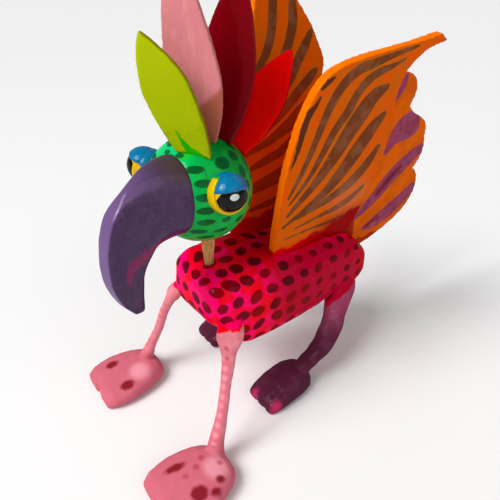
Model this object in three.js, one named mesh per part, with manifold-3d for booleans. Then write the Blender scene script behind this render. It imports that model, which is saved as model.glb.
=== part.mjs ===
// Painted wooden creature: a parrot-headed, winged quadruped carved in separate pieces.
//
// Frame: millimetres, +Z up. The creature faces -Y and its left side is +X. It stands on
// the plane z = 0, and the origin is the bottom centre of its bounding box.
// The torso, legs and wings are laid out in body coordinates, whose x = y = 0 is below the
// head's centre.
// The head pieces are laid out around the head's centre: +X left, -Y forward, +Z up.

import * as THREE from 'three';
import { mergeVertices } from 'three/addons/utils/BufferGeometryUtils.js';
import { ParametricGeometry } from 'three/addons/geometries/ParametricGeometry.js';
import Module from 'manifold-3d';

const wasm = await Module();
wasm.setup();

// ---- driving dimensions ----------------------------------------------------------------

const GAP = 0.3; // clearance left between pieces that touch or fit into each other
const BOX_CENTRE = new THREE.Vector2(4.25, 51.05); // middle of the box, in body coordinates

const HEAD_RADIUS = 27;
const HEAD_CENTRE = new THREE.Vector3(0, 0, 148);
const HEAD_TURN = THREE.MathUtils.degToRad(15); // the head looks a little to its left

const NECK_Y = 3.5; // the neck peg stands just behind the head's centre
const NECK_BOTTOM_Z = 84;
const NECK_COLLAR_Z = 118; // the peg is full thickness from just under the head
const NECK_TOP_Z = 135;
const NECK_RADII = { bottom: 2.6, atTorso: 2.9, top: 4 };
const TORSO_TOP_Z = 102;

const WING_ROOT_X = 14.5; // where a wing board's middle plane crosses the torso's top
const WING_ROOT_Z = 100;
const WING_LEAN = THREE.MathUtils.degToRad(9.8); // both wings lean outwards
const FOREWING_THICKNESS = 5;
const HINDWING_THICKNESS = 3.6;
// The tongue under a forewing: its ends along the body, how deep it goes into the torso's
// slot, how far it runs up into the board, and its thickness.
const TONGUE = { front: 46, back: 88, depth: 13, rise: 6, thickness: 3.8 };
const HINDWING_TOP_LOBE = { left: 95, right: 84 };

const EYE_RADIUS = 8.6;
const EYE_COLLAR = { radius: 9.7, from: 22, to: 30 }; // the rim, out from the head's centre
// How far forward and up each eye looks, and its ball's middle from the head's centre. The
// right eye stands a little prouder than the left.
const EYES = {
  left: { direction: [0.93, -0.29, 0.23], distance: 28.2 },
  right: { direction: [-0.94, -0.26, 0.26], distance: 31 },
};

const BEAK_DOWEL = { radius: 3, back: 14, front: 38 };
// The dowel in each hip; along is its middle's place from the leg's first station to its
// second.
const LEG_DOWEL = { radius: 2, length: 16, along: 0.75 };

const FEATHER_THICKNESS = 3;
const FEATHER_SUNK = 5; // how far a feather's outline starts below its root
const FEATHER_TENON = { width: 6, depth: 8, rise: 4, thickness: 2 };
const FEATHER_FACING = THREE.MathUtils.degToRad(22); // the boards face a little to the left

// Torso stations from chest to rump: position, half width, underside and back.
const TORSO_STATIONS = [
  { y: -9.5, halfWidth: 17, bottom: 78, top: 94 },
  { y: -7.5, halfWidth: 23.5, bottom: 72.5, top: 99.5 },
  { y: -1, halfWidth: 27, bottom: 66, top: 102 },
  { y: 7, halfWidth: 28, bottom: 55.5, top: 102.4 },
  { y: 15, halfWidth: 29, bottom: 50, top: 102.5 },
  { y: 38, halfWidth: 29.5, bottom: 48.5, top: 102.5 },
  { y: 62, halfWidth: 29, bottom: 50, top: 102 },
  { y: 86, halfWidth: 28, bottom: 52.5, top: 101 },
  { y: 101, halfWidth: 27, bottom: 54.5, top: 95 },
  { y: 110, halfWidth: 24.5, bottom: 59, top: 87 },
  { y: 114, halfWidth: 16, bottom: 64, top: 80 },
];

// The right shoulder is carved a little higher than the left: by how much, where along the
// body, and how far that reaches.
const RIGHT_SHOULDER = { height: 4.5, y: 3, reach: 14 };

// Beak stations from the face to the hooked tip, as [forward, up] on the outer ridge and on
// the inner edge, with the half width at each.
const BEAK_STATIONS = [
  { outer: [9, 19], inner: [9, -15.5], ridge: 15, edge: 17.5 },
  { outer: [20, 21.5], inner: [18, -17], ridge: 14.5, edge: 18.5 },
  { outer: [33, 20.5], inner: [27, -16.5], ridge: 8, edge: 14 },
  { outer: [46, 14.5], inner: [36, -18], ridge: 5.5, edge: 11 },
  { outer: [56.5, 4.5], inner: [41.5, -23], ridge: 4.6, edge: 9 },
  { outer: [61.5, -9], inner: [44, -29], ridge: 4.3, edge: 7.5 },
  { outer: [62, -25], inner: [45, -36.5], ridge: 4, edge: 6.5 },
  { outer: [57.5, -40], inner: [45.3, -44], ridge: 3.6, edge: 5 },
  { outer: [50.5, -49.5], inner: [45.8, -49.5], ridge: 2.4, edge: 3 },
];

// Leg centre lines for the left side: points from the hip down into the foot, with the
// half thickness across the leg (side) and along it (fore).
const FRONT_LEG = [
  { at: [26, 1, 78], side: 9, fore: 9 },
  { at: [28, -3, 68], side: 8.2, fore: 7.5 },
  { at: [32, -6.5, 59], side: 4.4, fore: 4.4 },
  { at: [36.3, -12, 45], side: 3, fore: 3.1 },
  { at: [41, -19, 28], side: 3.4, fore: 3.6 },
  { at: [44, -25, 14], side: 4.6, fore: 5 },
  { at: [45, -27.5, 5], side: 5.5, fore: 6.5 },
];
const REAR_LEG = [
  { at: [19, 94, 76], side: 8.5, fore: 13 },
  { at: [23, 91, 62], side: 8, fore: 13 },
  { at: [27, 83, 46], side: 6.6, fore: 9 },
  { at: [30, 76, 32], side: 5.4, fore: 6.8 },
  { at: [31, 66, 21], side: 4.6, fore: 5.4 },
  { at: [30, 53, 14], side: 5.2, fore: 6 },
  { at: [29, 44, 8], side: 7.5, fore: 7 },
];

// Feet on the left side: the middle of the heel, and how the sole widens to the toes.
const FRONT_FOOT = {
  heel: [47, -15],
  length: 48,
  stations: [
    { along: 0.03, halfWidth: 8.5, height: 8.5 },
    { along: 0.12, halfWidth: 13.5, height: 12 },
    { along: 0.3, halfWidth: 17.5, height: 14 },
    { along: 0.6, halfWidth: 20.5, height: 13 },
    { along: 0.86, halfWidth: 19.5, height: 11 },
    { along: 0.97, halfWidth: 16.5, height: 8.5 },
  ],
  toes: 2,
};
const REAR_FOOT = {
  heel: [28.5, 57.5],
  length: 40,
  stations: [
    { along: 0.03, halfWidth: 6.5, height: 9 },
    { along: 0.12, halfWidth: 10, height: 13 },
    { along: 0.35, halfWidth: 12.5, height: 14.5 },
    { along: 0.65, halfWidth: 13.5, height: 12.5 },
    { along: 0.9, halfWidth: 13, height: 8.5 },
    { along: 0.98, halfWidth: 11.5, height: 7 },
  ],
  toes: 3,
};

// How far each ankle (splay) and, beyond it, each paw (step) is set outwards and back from
// its mirror place. The four legs differ a little, as hand-carved legs do.
const FRONT = { stations: FRONT_LEG, foot: FRONT_FOOT };
const REAR = { stations: REAR_LEG, foot: REAR_FOOT };
const LEGS = {
  leg_front_left: { side: 1, splay: [0, 0], step: [4, -6], ...FRONT },
  leg_front_right: { side: -1, splay: [0, 1], step: [-4.5, -1.5], ...FRONT },
  leg_rear_left: { side: 1, splay: [0, 0], step: [-0.5, 1], ...REAR },
  leg_rear_right: { side: -1, splay: [16, 6], step: [0, 0], ...REAR },
};
const SOLE_TRIM = 0.8; // how much of a paw's rounded underside is cut off flat
const TOE_NOTCH = { radius: 0.3, ahead: 0.1 }; // of a toe's width, past the toes' front
const HIP_Z = 66; // height at which a splayed leg starts to swing outwards

// Crest feathers: where the root meets the head and where the tip is, from the head's
// centre, and the widest part of the leaf.
const FEATHERS = {
  crest_feather_lime: {
    root: [9.5, -10.5, 23], tip: [-2, -26, 74], width: 21.5, rootWidth: 12.5, widest: 0.58 },
  crest_feather_pink: {
    root: [6.5, -1.5, 26.2], tip: [4, -12, 105], width: 25, rootWidth: 8, widest: 0.38 },
  crest_feather_crimson: {
    root: [7, 8, 24.8], tip: [7, 26, 96], width: 27, rootWidth: 11, widest: 0.45 },
  crest_feather_scarlet: {
    root: [10, 17, 18.5], tip: [17, 54, 60], width: 22, rootWidth: 10, widest: 0.5 },
};

// How square a rounded section is: 2 is an oval, and larger is squarer.
const BLUNTNESS = { torso: 3.2, pawWidth: 3, pawHeight: 2.6, beak: 2.6 };

// How finely the skins are divided: sides around a section, and rings along it.
const FINENESS = {
  torso: { sides: 28, rings: 20 },
  leg: { sides: 12, rings: 13 },
  paw: { sides: 18, rings: 10 },
  beak: { sides: 20, rings: 20 },
  head: { sides: 32, rings: 20 },
  eye: { sides: 20, rings: 14 },
  collar: 24,
  peg: 24,
  dowel: 12,
  boardCurve: 10,
};

// ---- materials -------------------------------------------------------------------------

function paint(colour, roughness = 0.35) {
  return new THREE.MeshStandardMaterial({ color: colour, roughness, metalness: 0 });
}

const COLOURS = {
  bareWood: paint(0xb48c5a, 0.7),
  bodyPink: paint(0xe8063c),
  headGreen: paint(0x00a53c),
  beakPurple: paint(0x463250),
  eyeBlue: paint(0x0087b9, 0.2),
  wingOrange: paint(0xd75f00),
  frontLegPink: paint(0xe1828f, 0.5),
  rearLegPlum: paint(0x784060, 0.5),
  crest_feather_lime: paint(0xa8b600),
  crest_feather_pink: paint(0xd27d82),
  crest_feather_crimson: paint(0x6e000f, 0.2),
  crest_feather_scarlet: paint(0xb90000),
};

// ---- solids ----------------------------------------------------------------------------

// Turns a closed geometry into a solid that can be joined and cut.
function toSolid(geometry) {
  const bare = geometry.clone();
  bare.deleteAttribute('normal');
  bare.deleteAttribute('uv');
  const merged = mergeVertices(bare, 1e-4);
  const index = merged.index.array;
  const triangles = [];
  for (let i = 0; i < index.length; i += 3) {
    const [a, b, c] = [index[i], index[i + 1], index[i + 2]];
    if (a !== b && b !== c && c !== a) triangles.push(a, b, c);
  }
  const build = (order) => new wasm.Manifold(new wasm.Mesh({
    numProp: 3,
    vertProperties: new Float32Array(merged.attributes.position.array),
    triVerts: new Uint32Array(order),
  }));
  const solid = build(triangles);
  return solid.volume() > 0 ? solid : build(triangles.toReversed());
}

function toGeometry(solid) {
  const mesh = solid.getMesh();
  const geometry = new THREE.BufferGeometry();
  geometry.setAttribute('position', new THREE.BufferAttribute(mesh.vertProperties, 3));
  geometry.setIndex(new THREE.BufferAttribute(mesh.triVerts, 1));
  geometry.computeVertexNormals();
  return geometry;
}

function namedMesh(name, solid, material) {
  const mesh = new THREE.Mesh(toGeometry(solid), material);
  mesh.name = name;
  return mesh;
}

function ball(centre, radius, { sides, rings }) {
  const geometry = new THREE.SphereGeometry(radius, sides, rings);
  geometry.rotateX(Math.PI / 2);
  geometry.translate(centre.x, centre.y, centre.z);
  return toSolid(geometry);
}

// A round rod between two points.
function rod(from, to, radius, sides = FINENESS.dowel) {
  const along = to.clone().sub(from);
  const geometry = new THREE.CylinderGeometry(radius, radius, along.length(), sides);
  const turn = new THREE.Quaternion().setFromUnitVectors(
    new THREE.Vector3(0, 1, 0), along.clone().normalize());
  geometry.applyQuaternion(turn);
  const middle = from.clone().add(to).multiplyScalar(0.5);
  geometry.translate(middle.x, middle.y, middle.z);
  return toSolid(geometry);
}

function block(low, high) {
  const geometry = new THREE.BoxGeometry(high[0] - low[0], high[1] - low[1], high[2] - low[2]);
  geometry.translate((low[0] + high[0]) / 2, (low[1] + high[1]) / 2, (low[2] + high[2]) / 2);
  return toSolid(geometry);
}

// A rounded body through a row of stations. ringPoint(t, angle) gives a point on the skin
// for t from 0 to 1, and both ends close on the middle of the first and last ring.
function loft(ringPoint, { sides, rings }) {
  const opposite = new THREE.Vector3();
  const shape = (u, v, target) => {
    const row = Math.round(v * (rings + 2));
    const t = THREE.MathUtils.clamp((row - 1) / rings, 0, 1);
    const angle = 2 * Math.PI * (u % 1);
    target.copy(ringPoint(t, angle));
    if (row === 0 || row === rings + 2) {
      opposite.copy(ringPoint(t, 0)).add(ringPoint(t, Math.PI)).multiplyScalar(0.5);
      target.copy(opposite);
    }
  };
  return toSolid(new ParametricGeometry(shape, sides, rings + 2));
}

// A smooth function through a list of values that are evenly spread from 0 to 1.
function smoothRow(values) {
  const curve = new THREE.CatmullRomCurve3(values, false, 'centripetal');
  return (t) => curve.getPoint(t);
}

// Cosine or sine bent towards a square, for sections with flatter sides.
function squared(value, bluntness) {
  return Math.sign(value) * Math.abs(value) ** (2 / bluntness);
}

// ---- torso -----------------------------------------------------------------------------

function torsoSkin(grow) {
  const middles = TORSO_STATIONS.map((s) => new THREE.Vector3(0, s.y, (s.top + s.bottom) / 2));
  const sizes = TORSO_STATIONS.map((s) => new THREE.Vector3(
    s.halfWidth + grow, 0, (s.top - s.bottom) / 2 + grow));
  middles[0].y -= grow;
  middles.at(-1).y += grow;
  const middleAt = smoothRow(middles);
  const sizeAt = smoothRow(sizes);
  return loft((t, angle) => {
    const middle = middleAt(t);
    const size = sizeAt(t);
    const nearby = Math.exp(-(((middle.y - RIGHT_SHOULDER.y) / RIGHT_SHOULDER.reach) ** 2));
    const corner = 2 * Math.max(0, -Math.cos(angle)) * Math.max(0, Math.sin(angle));
    return new THREE.Vector3(
      size.x * squared(Math.cos(angle), BLUNTNESS.torso),
      middle.y,
      middle.z + size.z * squared(Math.sin(angle), BLUNTNESS.torso)
        + RIGHT_SHOULDER.height * corner * nearby);
  }, FINENESS.torso);
}

// ---- wings -----------------------------------------------------------------------------

// Wing outlines in the board's own plane: x runs back along the body and y runs up the
// board from the torso's top.
function leftForewingOutline() {
  const outline = new THREE.Shape();
  outline.moveTo(36, -3);
  outline.bezierCurveTo(33, 40, 33, 84, 50, 101.5);
  outline.bezierCurveTo(61, 110, 92, 109, 131, 115);
  outline.lineTo(138, 111);
  outline.quadraticCurveTo(120, 110, 110, 98.5);
  outline.bezierCurveTo(102, 78, 117, 58, 109, 32);
  outline.quadraticCurveTo(105, 12, 97, -3);
  return outline;
}

function rightForewingOutline() {
  const outline = new THREE.Shape();
  outline.moveTo(36, -3);
  outline.bezierCurveTo(33, 42, 45, 85, 54, 107);
  outline.bezierCurveTo(62, 124, 58, 134, 73, 149);
  outline.lineTo(78, 146);
  outline.bezierCurveTo(84, 134, 98, 126, 107, 104);
  outline.quadraticCurveTo(112, 96, 110, 90);
  outline.bezierCurveTo(102, 74, 117, 58, 109, 32);
  outline.quadraticCurveTo(105, 12, 97, -3);
  return outline;
}

// topLobe is how high the uppermost of the hindwing's four lobes stands.
function hindwingOutline(topLobe) {
  const outline = new THREE.Shape();
  outline.moveTo(98, -12);
  outline.lineTo(98, 40);
  outline.quadraticCurveTo(98, 70, 104, topLobe - 9);
  outline.quadraticCurveTo(116, topLobe + 5, 128, topLobe - 4);
  outline.quadraticCurveTo(136, topLobe - 11, 131, 74);
  outline.bezierCurveTo(140, 64, 156, 66, 158, 50);
  outline.quadraticCurveTo(167, 36, 158, 26);
  outline.bezierCurveTo(170, 20, 175, 0, 162, -11);
  outline.quadraticCurveTo(148, -22, 124, -27);
  return outline;
}

// A flat board cut to an outline, standing in the wing's leaning plane. side is +1 for the
// left wing and -1 for the right, and depth is how far its middle lies inside the root plane.
function wingBoard(outline, thickness, depth, side) {
  const geometry = new THREE.ExtrudeGeometry(outline, {
    depth: thickness,
    bevelEnabled: false,
    curveSegments: FINENESS.boardCurve,
  });
  geometry.translate(0, 0, -thickness / 2);
  const toBody = new THREE.Matrix4().makeBasis(
    new THREE.Vector3(0, 1, 0), new THREE.Vector3(0, 0, 1), new THREE.Vector3(1, 0, 0));
  geometry.applyMatrix4(toBody);
  geometry.translate(-side * depth, 0, 0);
  return placeOnWing(geometry, side);
}

function placeOnWing(geometry, side) {
  geometry.rotateY(side * WING_LEAN);
  geometry.translate(side * WING_ROOT_X, 0, WING_ROOT_Z);
  return toSolid(geometry);
}

// The tongue of a forewing that drops into the torso's slot, or the slot itself when grown.
function wingTongue(side, grow) {
  const height = TONGUE.depth + TONGUE.rise + grow;
  const geometry = new THREE.BoxGeometry(
    TONGUE.thickness + 2 * grow, TONGUE.back - TONGUE.front + 2 * grow, height);
  geometry.translate(0, (TONGUE.front + TONGUE.back) / 2, TONGUE.rise - height / 2);
  return placeOnWing(geometry, side);
}

function forewing(side, torsoKeepOut) {
  const outline = side > 0 ? leftForewingOutline() : rightForewingOutline();
  const board = wingBoard(outline, FOREWING_THICKNESS, 0, side);
  return board.subtract(torsoKeepOut).add(wingTongue(side, 0));
}

function hindwing(side, torsoKeepOut) {
  const depth = (FOREWING_THICKNESS + HINDWING_THICKNESS) / 2 + GAP;
  const outline = hindwingOutline(
    side > 0 ? HINDWING_TOP_LOBE.left : HINDWING_TOP_LOBE.right);
  return wingBoard(outline, HINDWING_THICKNESS, depth, side).subtract(torsoKeepOut);
}

// ---- legs ------------------------------------------------------------------------------

// A point of a leg's centre line, mirrored and splayed.
function legPoint({ at: [x, y, z] }, { side, splay }) {
  const swing = Math.max(0, 1 - z / HIP_Z);
  return new THREE.Vector3(side * (x + splay[0] * swing), y + splay[1] * swing, z);
}

// An oval section swept down the centre line, kept level at every station.
function legShaft(placing) {
  const middleAt = smoothRow(placing.stations.map((s) => legPoint(s, placing)));
  const sizeAt = smoothRow(placing.stations.map((s) => new THREE.Vector3(s.side, s.fore, 0)));
  return loft((t, angle) => {
    const middle = middleAt(t);
    const size = sizeAt(t);
    return new THREE.Vector3(
      middle.x + size.x * Math.cos(angle), middle.y + size.y * Math.sin(angle), middle.z);
  }, FINENESS.leg);
}

// A paw: a flat-soled wedge that widens towards scalloped toes.
function paw({ side, splay, step, foot }) {
  const middleAt = smoothRow(foot.stations.map(
    (s) => new THREE.Vector3(0, -s.along * foot.length, 0)));
  const sizeAt = smoothRow(foot.stations.map(
    (s) => new THREE.Vector3(s.halfWidth, 0, s.height + SOLE_TRIM)));
  const body = loft((t, angle) => {
    const size = sizeAt(t);
    return new THREE.Vector3(
      size.x * squared(Math.cos(angle), BLUNTNESS.pawWidth),
      middleAt(t).y,
      size.z * (squared(Math.sin(angle), BLUNTNESS.pawHeight) + 1) / 2 - SOLE_TRIM);
  }, FINENESS.paw);
  const clear = foot.length; // well past the paw on every side
  const below = block([-clear, -2 * clear, -clear], [clear, clear, 0]);
  const toeHalfWidth = foot.stations.at(-1).halfWidth;
  const pitch = 2 * toeHalfWidth / foot.toes;
  let carved = body.subtract(below);
  for (let i = 1; i < foot.toes; i += 1) {
    const x = -toeHalfWidth + i * pitch;
    const y = -foot.length - pitch * TOE_NOTCH.ahead;
    carved = carved.subtract(rod(
      new THREE.Vector3(x, y, -clear),
      new THREE.Vector3(x, y, clear),
      pitch * TOE_NOTCH.radius));
  }
  const geometry = toGeometry(carved);
  geometry.translate(
    side * (foot.heel[0] + splay[0] + step[0]), foot.heel[1] + splay[1] + step[1], 0);
  return toSolid(geometry);
}

// The dowel that pins a leg's top into the torso, or its hole when grown.
function legDowel(placing, grow) {
  const [hip, below] = placing.stations.map((s) => legPoint(s, placing));
  const direction = hip.clone().sub(below).normalize();
  const middle = hip.clone().lerp(below, LEG_DOWEL.along);
  const reach = LEG_DOWEL.length / 2 + grow;
  return rod(
    middle.clone().addScaledVector(direction, -reach),
    middle.clone().addScaledVector(direction, reach),
    LEG_DOWEL.radius + grow);
}

function leg(placing, torsoKeepOut) {
  return legShaft(placing)
    .subtract(torsoKeepOut)
    .add(paw(placing))
    .subtract(legDowel(placing, GAP));
}

// ---- neck ------------------------------------------------------------------------------

function neckPeg(grow) {
  const profile = [
    new THREE.Vector2(0, NECK_BOTTOM_Z - grow),
    new THREE.Vector2(NECK_RADII.bottom + grow, NECK_BOTTOM_Z - grow),
    new THREE.Vector2(NECK_RADII.atTorso + grow, TORSO_TOP_Z),
    new THREE.Vector2(NECK_RADII.top + grow, NECK_COLLAR_Z),
    new THREE.Vector2(NECK_RADII.top + grow, NECK_TOP_Z + grow),
    new THREE.Vector2(0, NECK_TOP_Z + grow),
  ];
  const geometry = new THREE.LatheGeometry(profile, FINENESS.peg);
  geometry.rotateX(Math.PI / 2);
  geometry.translate(0, NECK_Y, 0);
  return geometry;
}

// The same peg seen from the turned head.
function neckPegInHead(grow) {
  const geometry = neckPeg(grow);
  geometry.translate(-HEAD_CENTRE.x, -HEAD_CENTRE.y, -HEAD_CENTRE.z);
  geometry.rotateZ(-HEAD_TURN);
  return toSolid(geometry);
}

// ---- head pieces, around the head's centre -----------------------------------------------

function beakDowel(grow) {
  return rod(
    new THREE.Vector3(0, -BEAK_DOWEL.back + grow, 0),
    new THREE.Vector3(0, -BEAK_DOWEL.front - grow, 0),
    BEAK_DOWEL.radius + grow);
}

function beak(headKeepOut) {
  const outerAt = smoothRow(BEAK_STATIONS.map(
    (s) => new THREE.Vector3(s.ridge, -s.outer[0], s.outer[1])));
  const innerAt = smoothRow(BEAK_STATIONS.map(
    (s) => new THREE.Vector3(s.edge, -s.inner[0], s.inner[1])));
  const skin = loft((t, angle) => {
    const towardsRidge = (1 + squared(Math.cos(angle), BLUNTNESS.beak)) / 2;
    const skinPoint = innerAt(t).lerp(outerAt(t), towardsRidge);
    skinPoint.x *= squared(Math.sin(angle), BLUNTNESS.beak);
    return skinPoint;
  }, FINENESS.beak);
  return skin.subtract(headKeepOut).subtract(beakDowel(GAP));
}

function eye({ direction, distance }, headKeepOut) {
  const outwards = new THREE.Vector3(...direction).normalize();
  const dome = ball(outwards.clone().multiplyScalar(distance), EYE_RADIUS, FINENESS.eye);
  const collar = rod(
    outwards.clone().multiplyScalar(EYE_COLLAR.from),
    outwards.clone().multiplyScalar(EYE_COLLAR.to),
    EYE_COLLAR.radius, FINENESS.collar);
  return dome.add(collar).subtract(headKeepOut);
}

// A leaf outline from root (y = 0) to tip, starting a little below the root.
function leafOutline(length, { width, rootWidth, widest }) {
  const half = width / 2;
  const rootHalf = rootWidth / 2;
  const outline = new THREE.Shape();
  outline.moveTo(-rootHalf, -FEATHER_SUNK);
  outline.bezierCurveTo(
    -half, length * widest * 0.3, -half * 1.05, length * widest * 0.8, -half, length * widest);
  outline.bezierCurveTo(
    -half * 0.9, length * (0.35 + 0.65 * widest), -half * 0.35, length * 0.92, 0, length);
  outline.bezierCurveTo(
    half * 0.35, length * 0.92, half * 0.9, length * (0.35 + 0.65 * widest), half, length * widest);
  outline.bezierCurveTo(
    half * 1.05, length * widest * 0.8, half, length * widest * 0.3, rootHalf, -FEATHER_SUNK);
  return outline;
}

// Places feather geometry: y runs from root to tip and z is the way the board faces.
function placeFeather(geometry, { root, tip }) {
  const from = new THREE.Vector3(...root);
  const along = new THREE.Vector3(...tip).sub(from).normalize();
  const facing = new THREE.Vector3(Math.sin(FEATHER_FACING), -Math.cos(FEATHER_FACING), 0);
  const across = along.clone().cross(facing).normalize();
  const face = across.clone().cross(along);
  geometry.applyMatrix4(new THREE.Matrix4().makeBasis(across, along, face).setPosition(from));
  return toSolid(geometry);
}

function featherTenon(feather, grow) {
  const height = FEATHER_TENON.depth + FEATHER_TENON.rise + grow;
  const geometry = new THREE.BoxGeometry(
    FEATHER_TENON.width + 2 * grow, height, FEATHER_TENON.thickness + 2 * grow);
  geometry.translate(0, FEATHER_TENON.rise - height / 2, 0);
  return placeFeather(geometry, feather);
}

function crestFeather(feather, headKeepOut) {
  const length = new THREE.Vector3(...feather.tip).distanceTo(new THREE.Vector3(...feather.root));
  const geometry = new THREE.ExtrudeGeometry(
    leafOutline(length, feather),
    { depth: FEATHER_THICKNESS, bevelEnabled: false, curveSegments: FINENESS.boardCurve });
  geometry.translate(0, 0, -FEATHER_THICKNESS / 2);
  return placeFeather(geometry, feather).subtract(headKeepOut).add(featherTenon(feather, 0));
}

function headBall() {
  let solid = ball(new THREE.Vector3(), HEAD_RADIUS, FINENESS.head);
  solid = solid.subtract(neckPegInHead(GAP)).subtract(beakDowel(GAP));
  for (const feather of Object.values(FEATHERS)) {
    solid = solid.subtract(featherTenon(feather, GAP));
  }
  return solid;
}

// ---- assembly --------------------------------------------------------------------------

const SIDES = { left: 1, right: -1 };

function buildBody() {
  const body = new THREE.Group();
  const torsoKeepOut = torsoSkin(GAP);
  let torso = torsoSkin(0).subtract(toSolid(neckPeg(GAP)));
  for (const [sideName, side] of Object.entries(SIDES)) {
    torso = torso.subtract(wingTongue(side, GAP));
    body.add(
      namedMesh(`forewing_${sideName}`, forewing(side, torsoKeepOut), COLOURS.wingOrange),
      namedMesh(`hindwing_${sideName}`, hindwing(side, torsoKeepOut), COLOURS.wingOrange));
  }
  for (const [name, placing] of Object.entries(LEGS)) {
    torso = torso.subtract(legDowel(placing, GAP));
    const material = placing.stations === FRONT_LEG ? COLOURS.frontLegPink : COLOURS.rearLegPlum;
    body.add(
      namedMesh(name, leg(placing, torsoKeepOut), material),
      namedMesh(name.replace('leg_', 'leg_dowel_'), legDowel(placing, 0), COLOURS.bareWood));
  }
  body.add(namedMesh('torso', torso, COLOURS.bodyPink));
  body.add(namedMesh('neck_peg', toSolid(neckPeg(0)), COLOURS.bareWood));
  return body;
}

function buildHead() {
  const head = new THREE.Group();
  head.position.copy(HEAD_CENTRE);
  head.rotation.z = HEAD_TURN;
  const headKeepOut = ball(new THREE.Vector3(), HEAD_RADIUS + GAP, FINENESS.head);
  head.add(
    namedMesh('head', headBall(), COLOURS.headGreen),
    namedMesh('beak', beak(headKeepOut), COLOURS.beakPurple),
    namedMesh('beak_dowel', beakDowel(0), COLOURS.bareWood));
  for (const [sideName, placing] of Object.entries(EYES)) {
    head.add(namedMesh(`eye_${sideName}`, eye(placing, headKeepOut), COLOURS.eyeBlue));
  }
  for (const [name, feather] of Object.entries(FEATHERS)) {
    head.add(namedMesh(name, crestFeather(feather, headKeepOut), COLOURS[name]));
  }
  return head;
}

const figure = new THREE.Group();
figure.name = 'alebrije';
figure.position.set(-BOX_CENTRE.x, -BOX_CENTRE.y, 0);
figure.add(buildBody(), buildHead());

export default figure;
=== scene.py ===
"""Painted wooden winged creature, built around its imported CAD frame.

Every visible piece is made here as a finely divided carving with hand-painted materials.
Shapes are worked out in millimetres and stored in metres. Painted marks are distance fields
kept on the vertices: a field is negative inside its mark, and the material turns it into
paint with a slightly wobbly brushed edge.
"""

import math
import random

import bpy
import numpy as np
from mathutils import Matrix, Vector, noise


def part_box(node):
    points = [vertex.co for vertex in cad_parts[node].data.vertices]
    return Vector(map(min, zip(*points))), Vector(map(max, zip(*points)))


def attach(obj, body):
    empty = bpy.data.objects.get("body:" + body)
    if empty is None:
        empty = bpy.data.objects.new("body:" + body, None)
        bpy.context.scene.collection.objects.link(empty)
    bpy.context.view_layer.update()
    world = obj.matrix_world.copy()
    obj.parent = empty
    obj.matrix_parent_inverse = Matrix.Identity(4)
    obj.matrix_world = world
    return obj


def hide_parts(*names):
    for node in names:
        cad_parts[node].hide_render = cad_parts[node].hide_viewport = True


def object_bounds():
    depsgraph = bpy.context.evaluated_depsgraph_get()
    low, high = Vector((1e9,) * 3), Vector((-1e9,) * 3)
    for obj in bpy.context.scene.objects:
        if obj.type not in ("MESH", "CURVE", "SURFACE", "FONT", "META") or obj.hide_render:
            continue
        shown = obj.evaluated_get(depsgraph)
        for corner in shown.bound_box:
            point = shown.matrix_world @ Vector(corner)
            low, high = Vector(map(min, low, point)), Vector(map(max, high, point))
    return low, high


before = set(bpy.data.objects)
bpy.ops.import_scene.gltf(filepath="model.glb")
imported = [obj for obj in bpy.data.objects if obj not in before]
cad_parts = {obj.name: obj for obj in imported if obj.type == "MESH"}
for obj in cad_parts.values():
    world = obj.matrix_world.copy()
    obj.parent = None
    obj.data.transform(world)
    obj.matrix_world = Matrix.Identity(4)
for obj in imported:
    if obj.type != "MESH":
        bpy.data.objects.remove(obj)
cad_low, cad_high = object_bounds()

MM = 0.001
SIDES = {"left": 1, "right": -1}
BOX_MARGIN = 0.05  # how far every carving stays inside the frame's box, but for the floor

# ---- places, from the frame ----

HEAD_RADIUS = 27.0
head_low, head_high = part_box("head")
HEAD = np.array([
    (head_low.x + head_high.x) / 2,
    (head_low.y + head_high.y) / 2,
    head_high.z - HEAD_RADIUS * MM,
]) / MM
BODY = HEAD * [1, 1, 0]  # the body's own x = y = 0 is below the head
HEAD_TURN = math.radians(15)
NECK_Y = 3.5

WING_ROOT = np.array([14.5, 0, 100])  # on the left wing's middle plane
WING_LEAN = math.radians(9.8)

EYES = {
    "left": {
        "direction": (0.935, -0.268, 0.229), "distance": 28.2,
        "pupil": ((-1.0, -1.7), (7.4, 6.1)), "lid": 2.1, "lid_front": -9.0},
    "right": {
        "direction": (-0.916, -0.311, 0.253), "distance": 31.4,
        "pupil": ((-2.7, -0.8), (6.5, 6.2)), "lid": 3.9, "lid_front": -12},
}
EYE_RADIUS = 8.6
COLLAR_RADIUS = 9.7
COLLAR_TOP = 30.0
LID_THICKNESS = 0.9

# Root and tip of each crest feather, from the head's centre.
FEATHERS = {
    "lime": ((9.5, -10.5, 23), (-2, -26, 74)),
    "pink": ((6.5, -1.5, 26.2), (4, -12, 105)),
    "crimson": ((7, 8, 24.8), (7, 26, 96)),
    "scarlet": ((10, 17, 18.5), (17, 54, 60)),
}
FEATHER_FACING = math.radians(22)


def from_head(points):
    """Head coordinates (left, back, up) to the row frame."""
    points = np.asarray(points, float)
    c, s = math.cos(HEAD_TURN), math.sin(HEAD_TURN)
    x, y, z = points.T
    return np.stack([x * c - y * s, x * s + y * c, z], 1) + HEAD


def to_head(points):
    """The row frame to head coordinates (left, back, up)."""
    c, s = math.cos(HEAD_TURN), math.sin(HEAD_TURN)
    x, y, z = (points - HEAD).T
    return np.stack([x * c + y * s, y * c - x * s, z], 1)


def wing_map(points, side):
    """Wing board coordinates: back along the body, up the board, and out from its middle."""
    x, y, z = (points - BODY - WING_ROOT * [side, 1, 1]).T
    c, s = math.cos(WING_LEAN), math.sin(WING_LEAN)
    return np.stack([y, side * x * s + z * c, side * x * c - z * s], 1)


# ---- meshes ----

def make_mesh(name, points, faces):
    mesh = bpy.data.meshes.new(name)
    mesh.from_pydata((np.asarray(points) * MM).tolist(), [], faces)
    mesh.shade_smooth()
    mesh.update()
    return mesh


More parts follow.
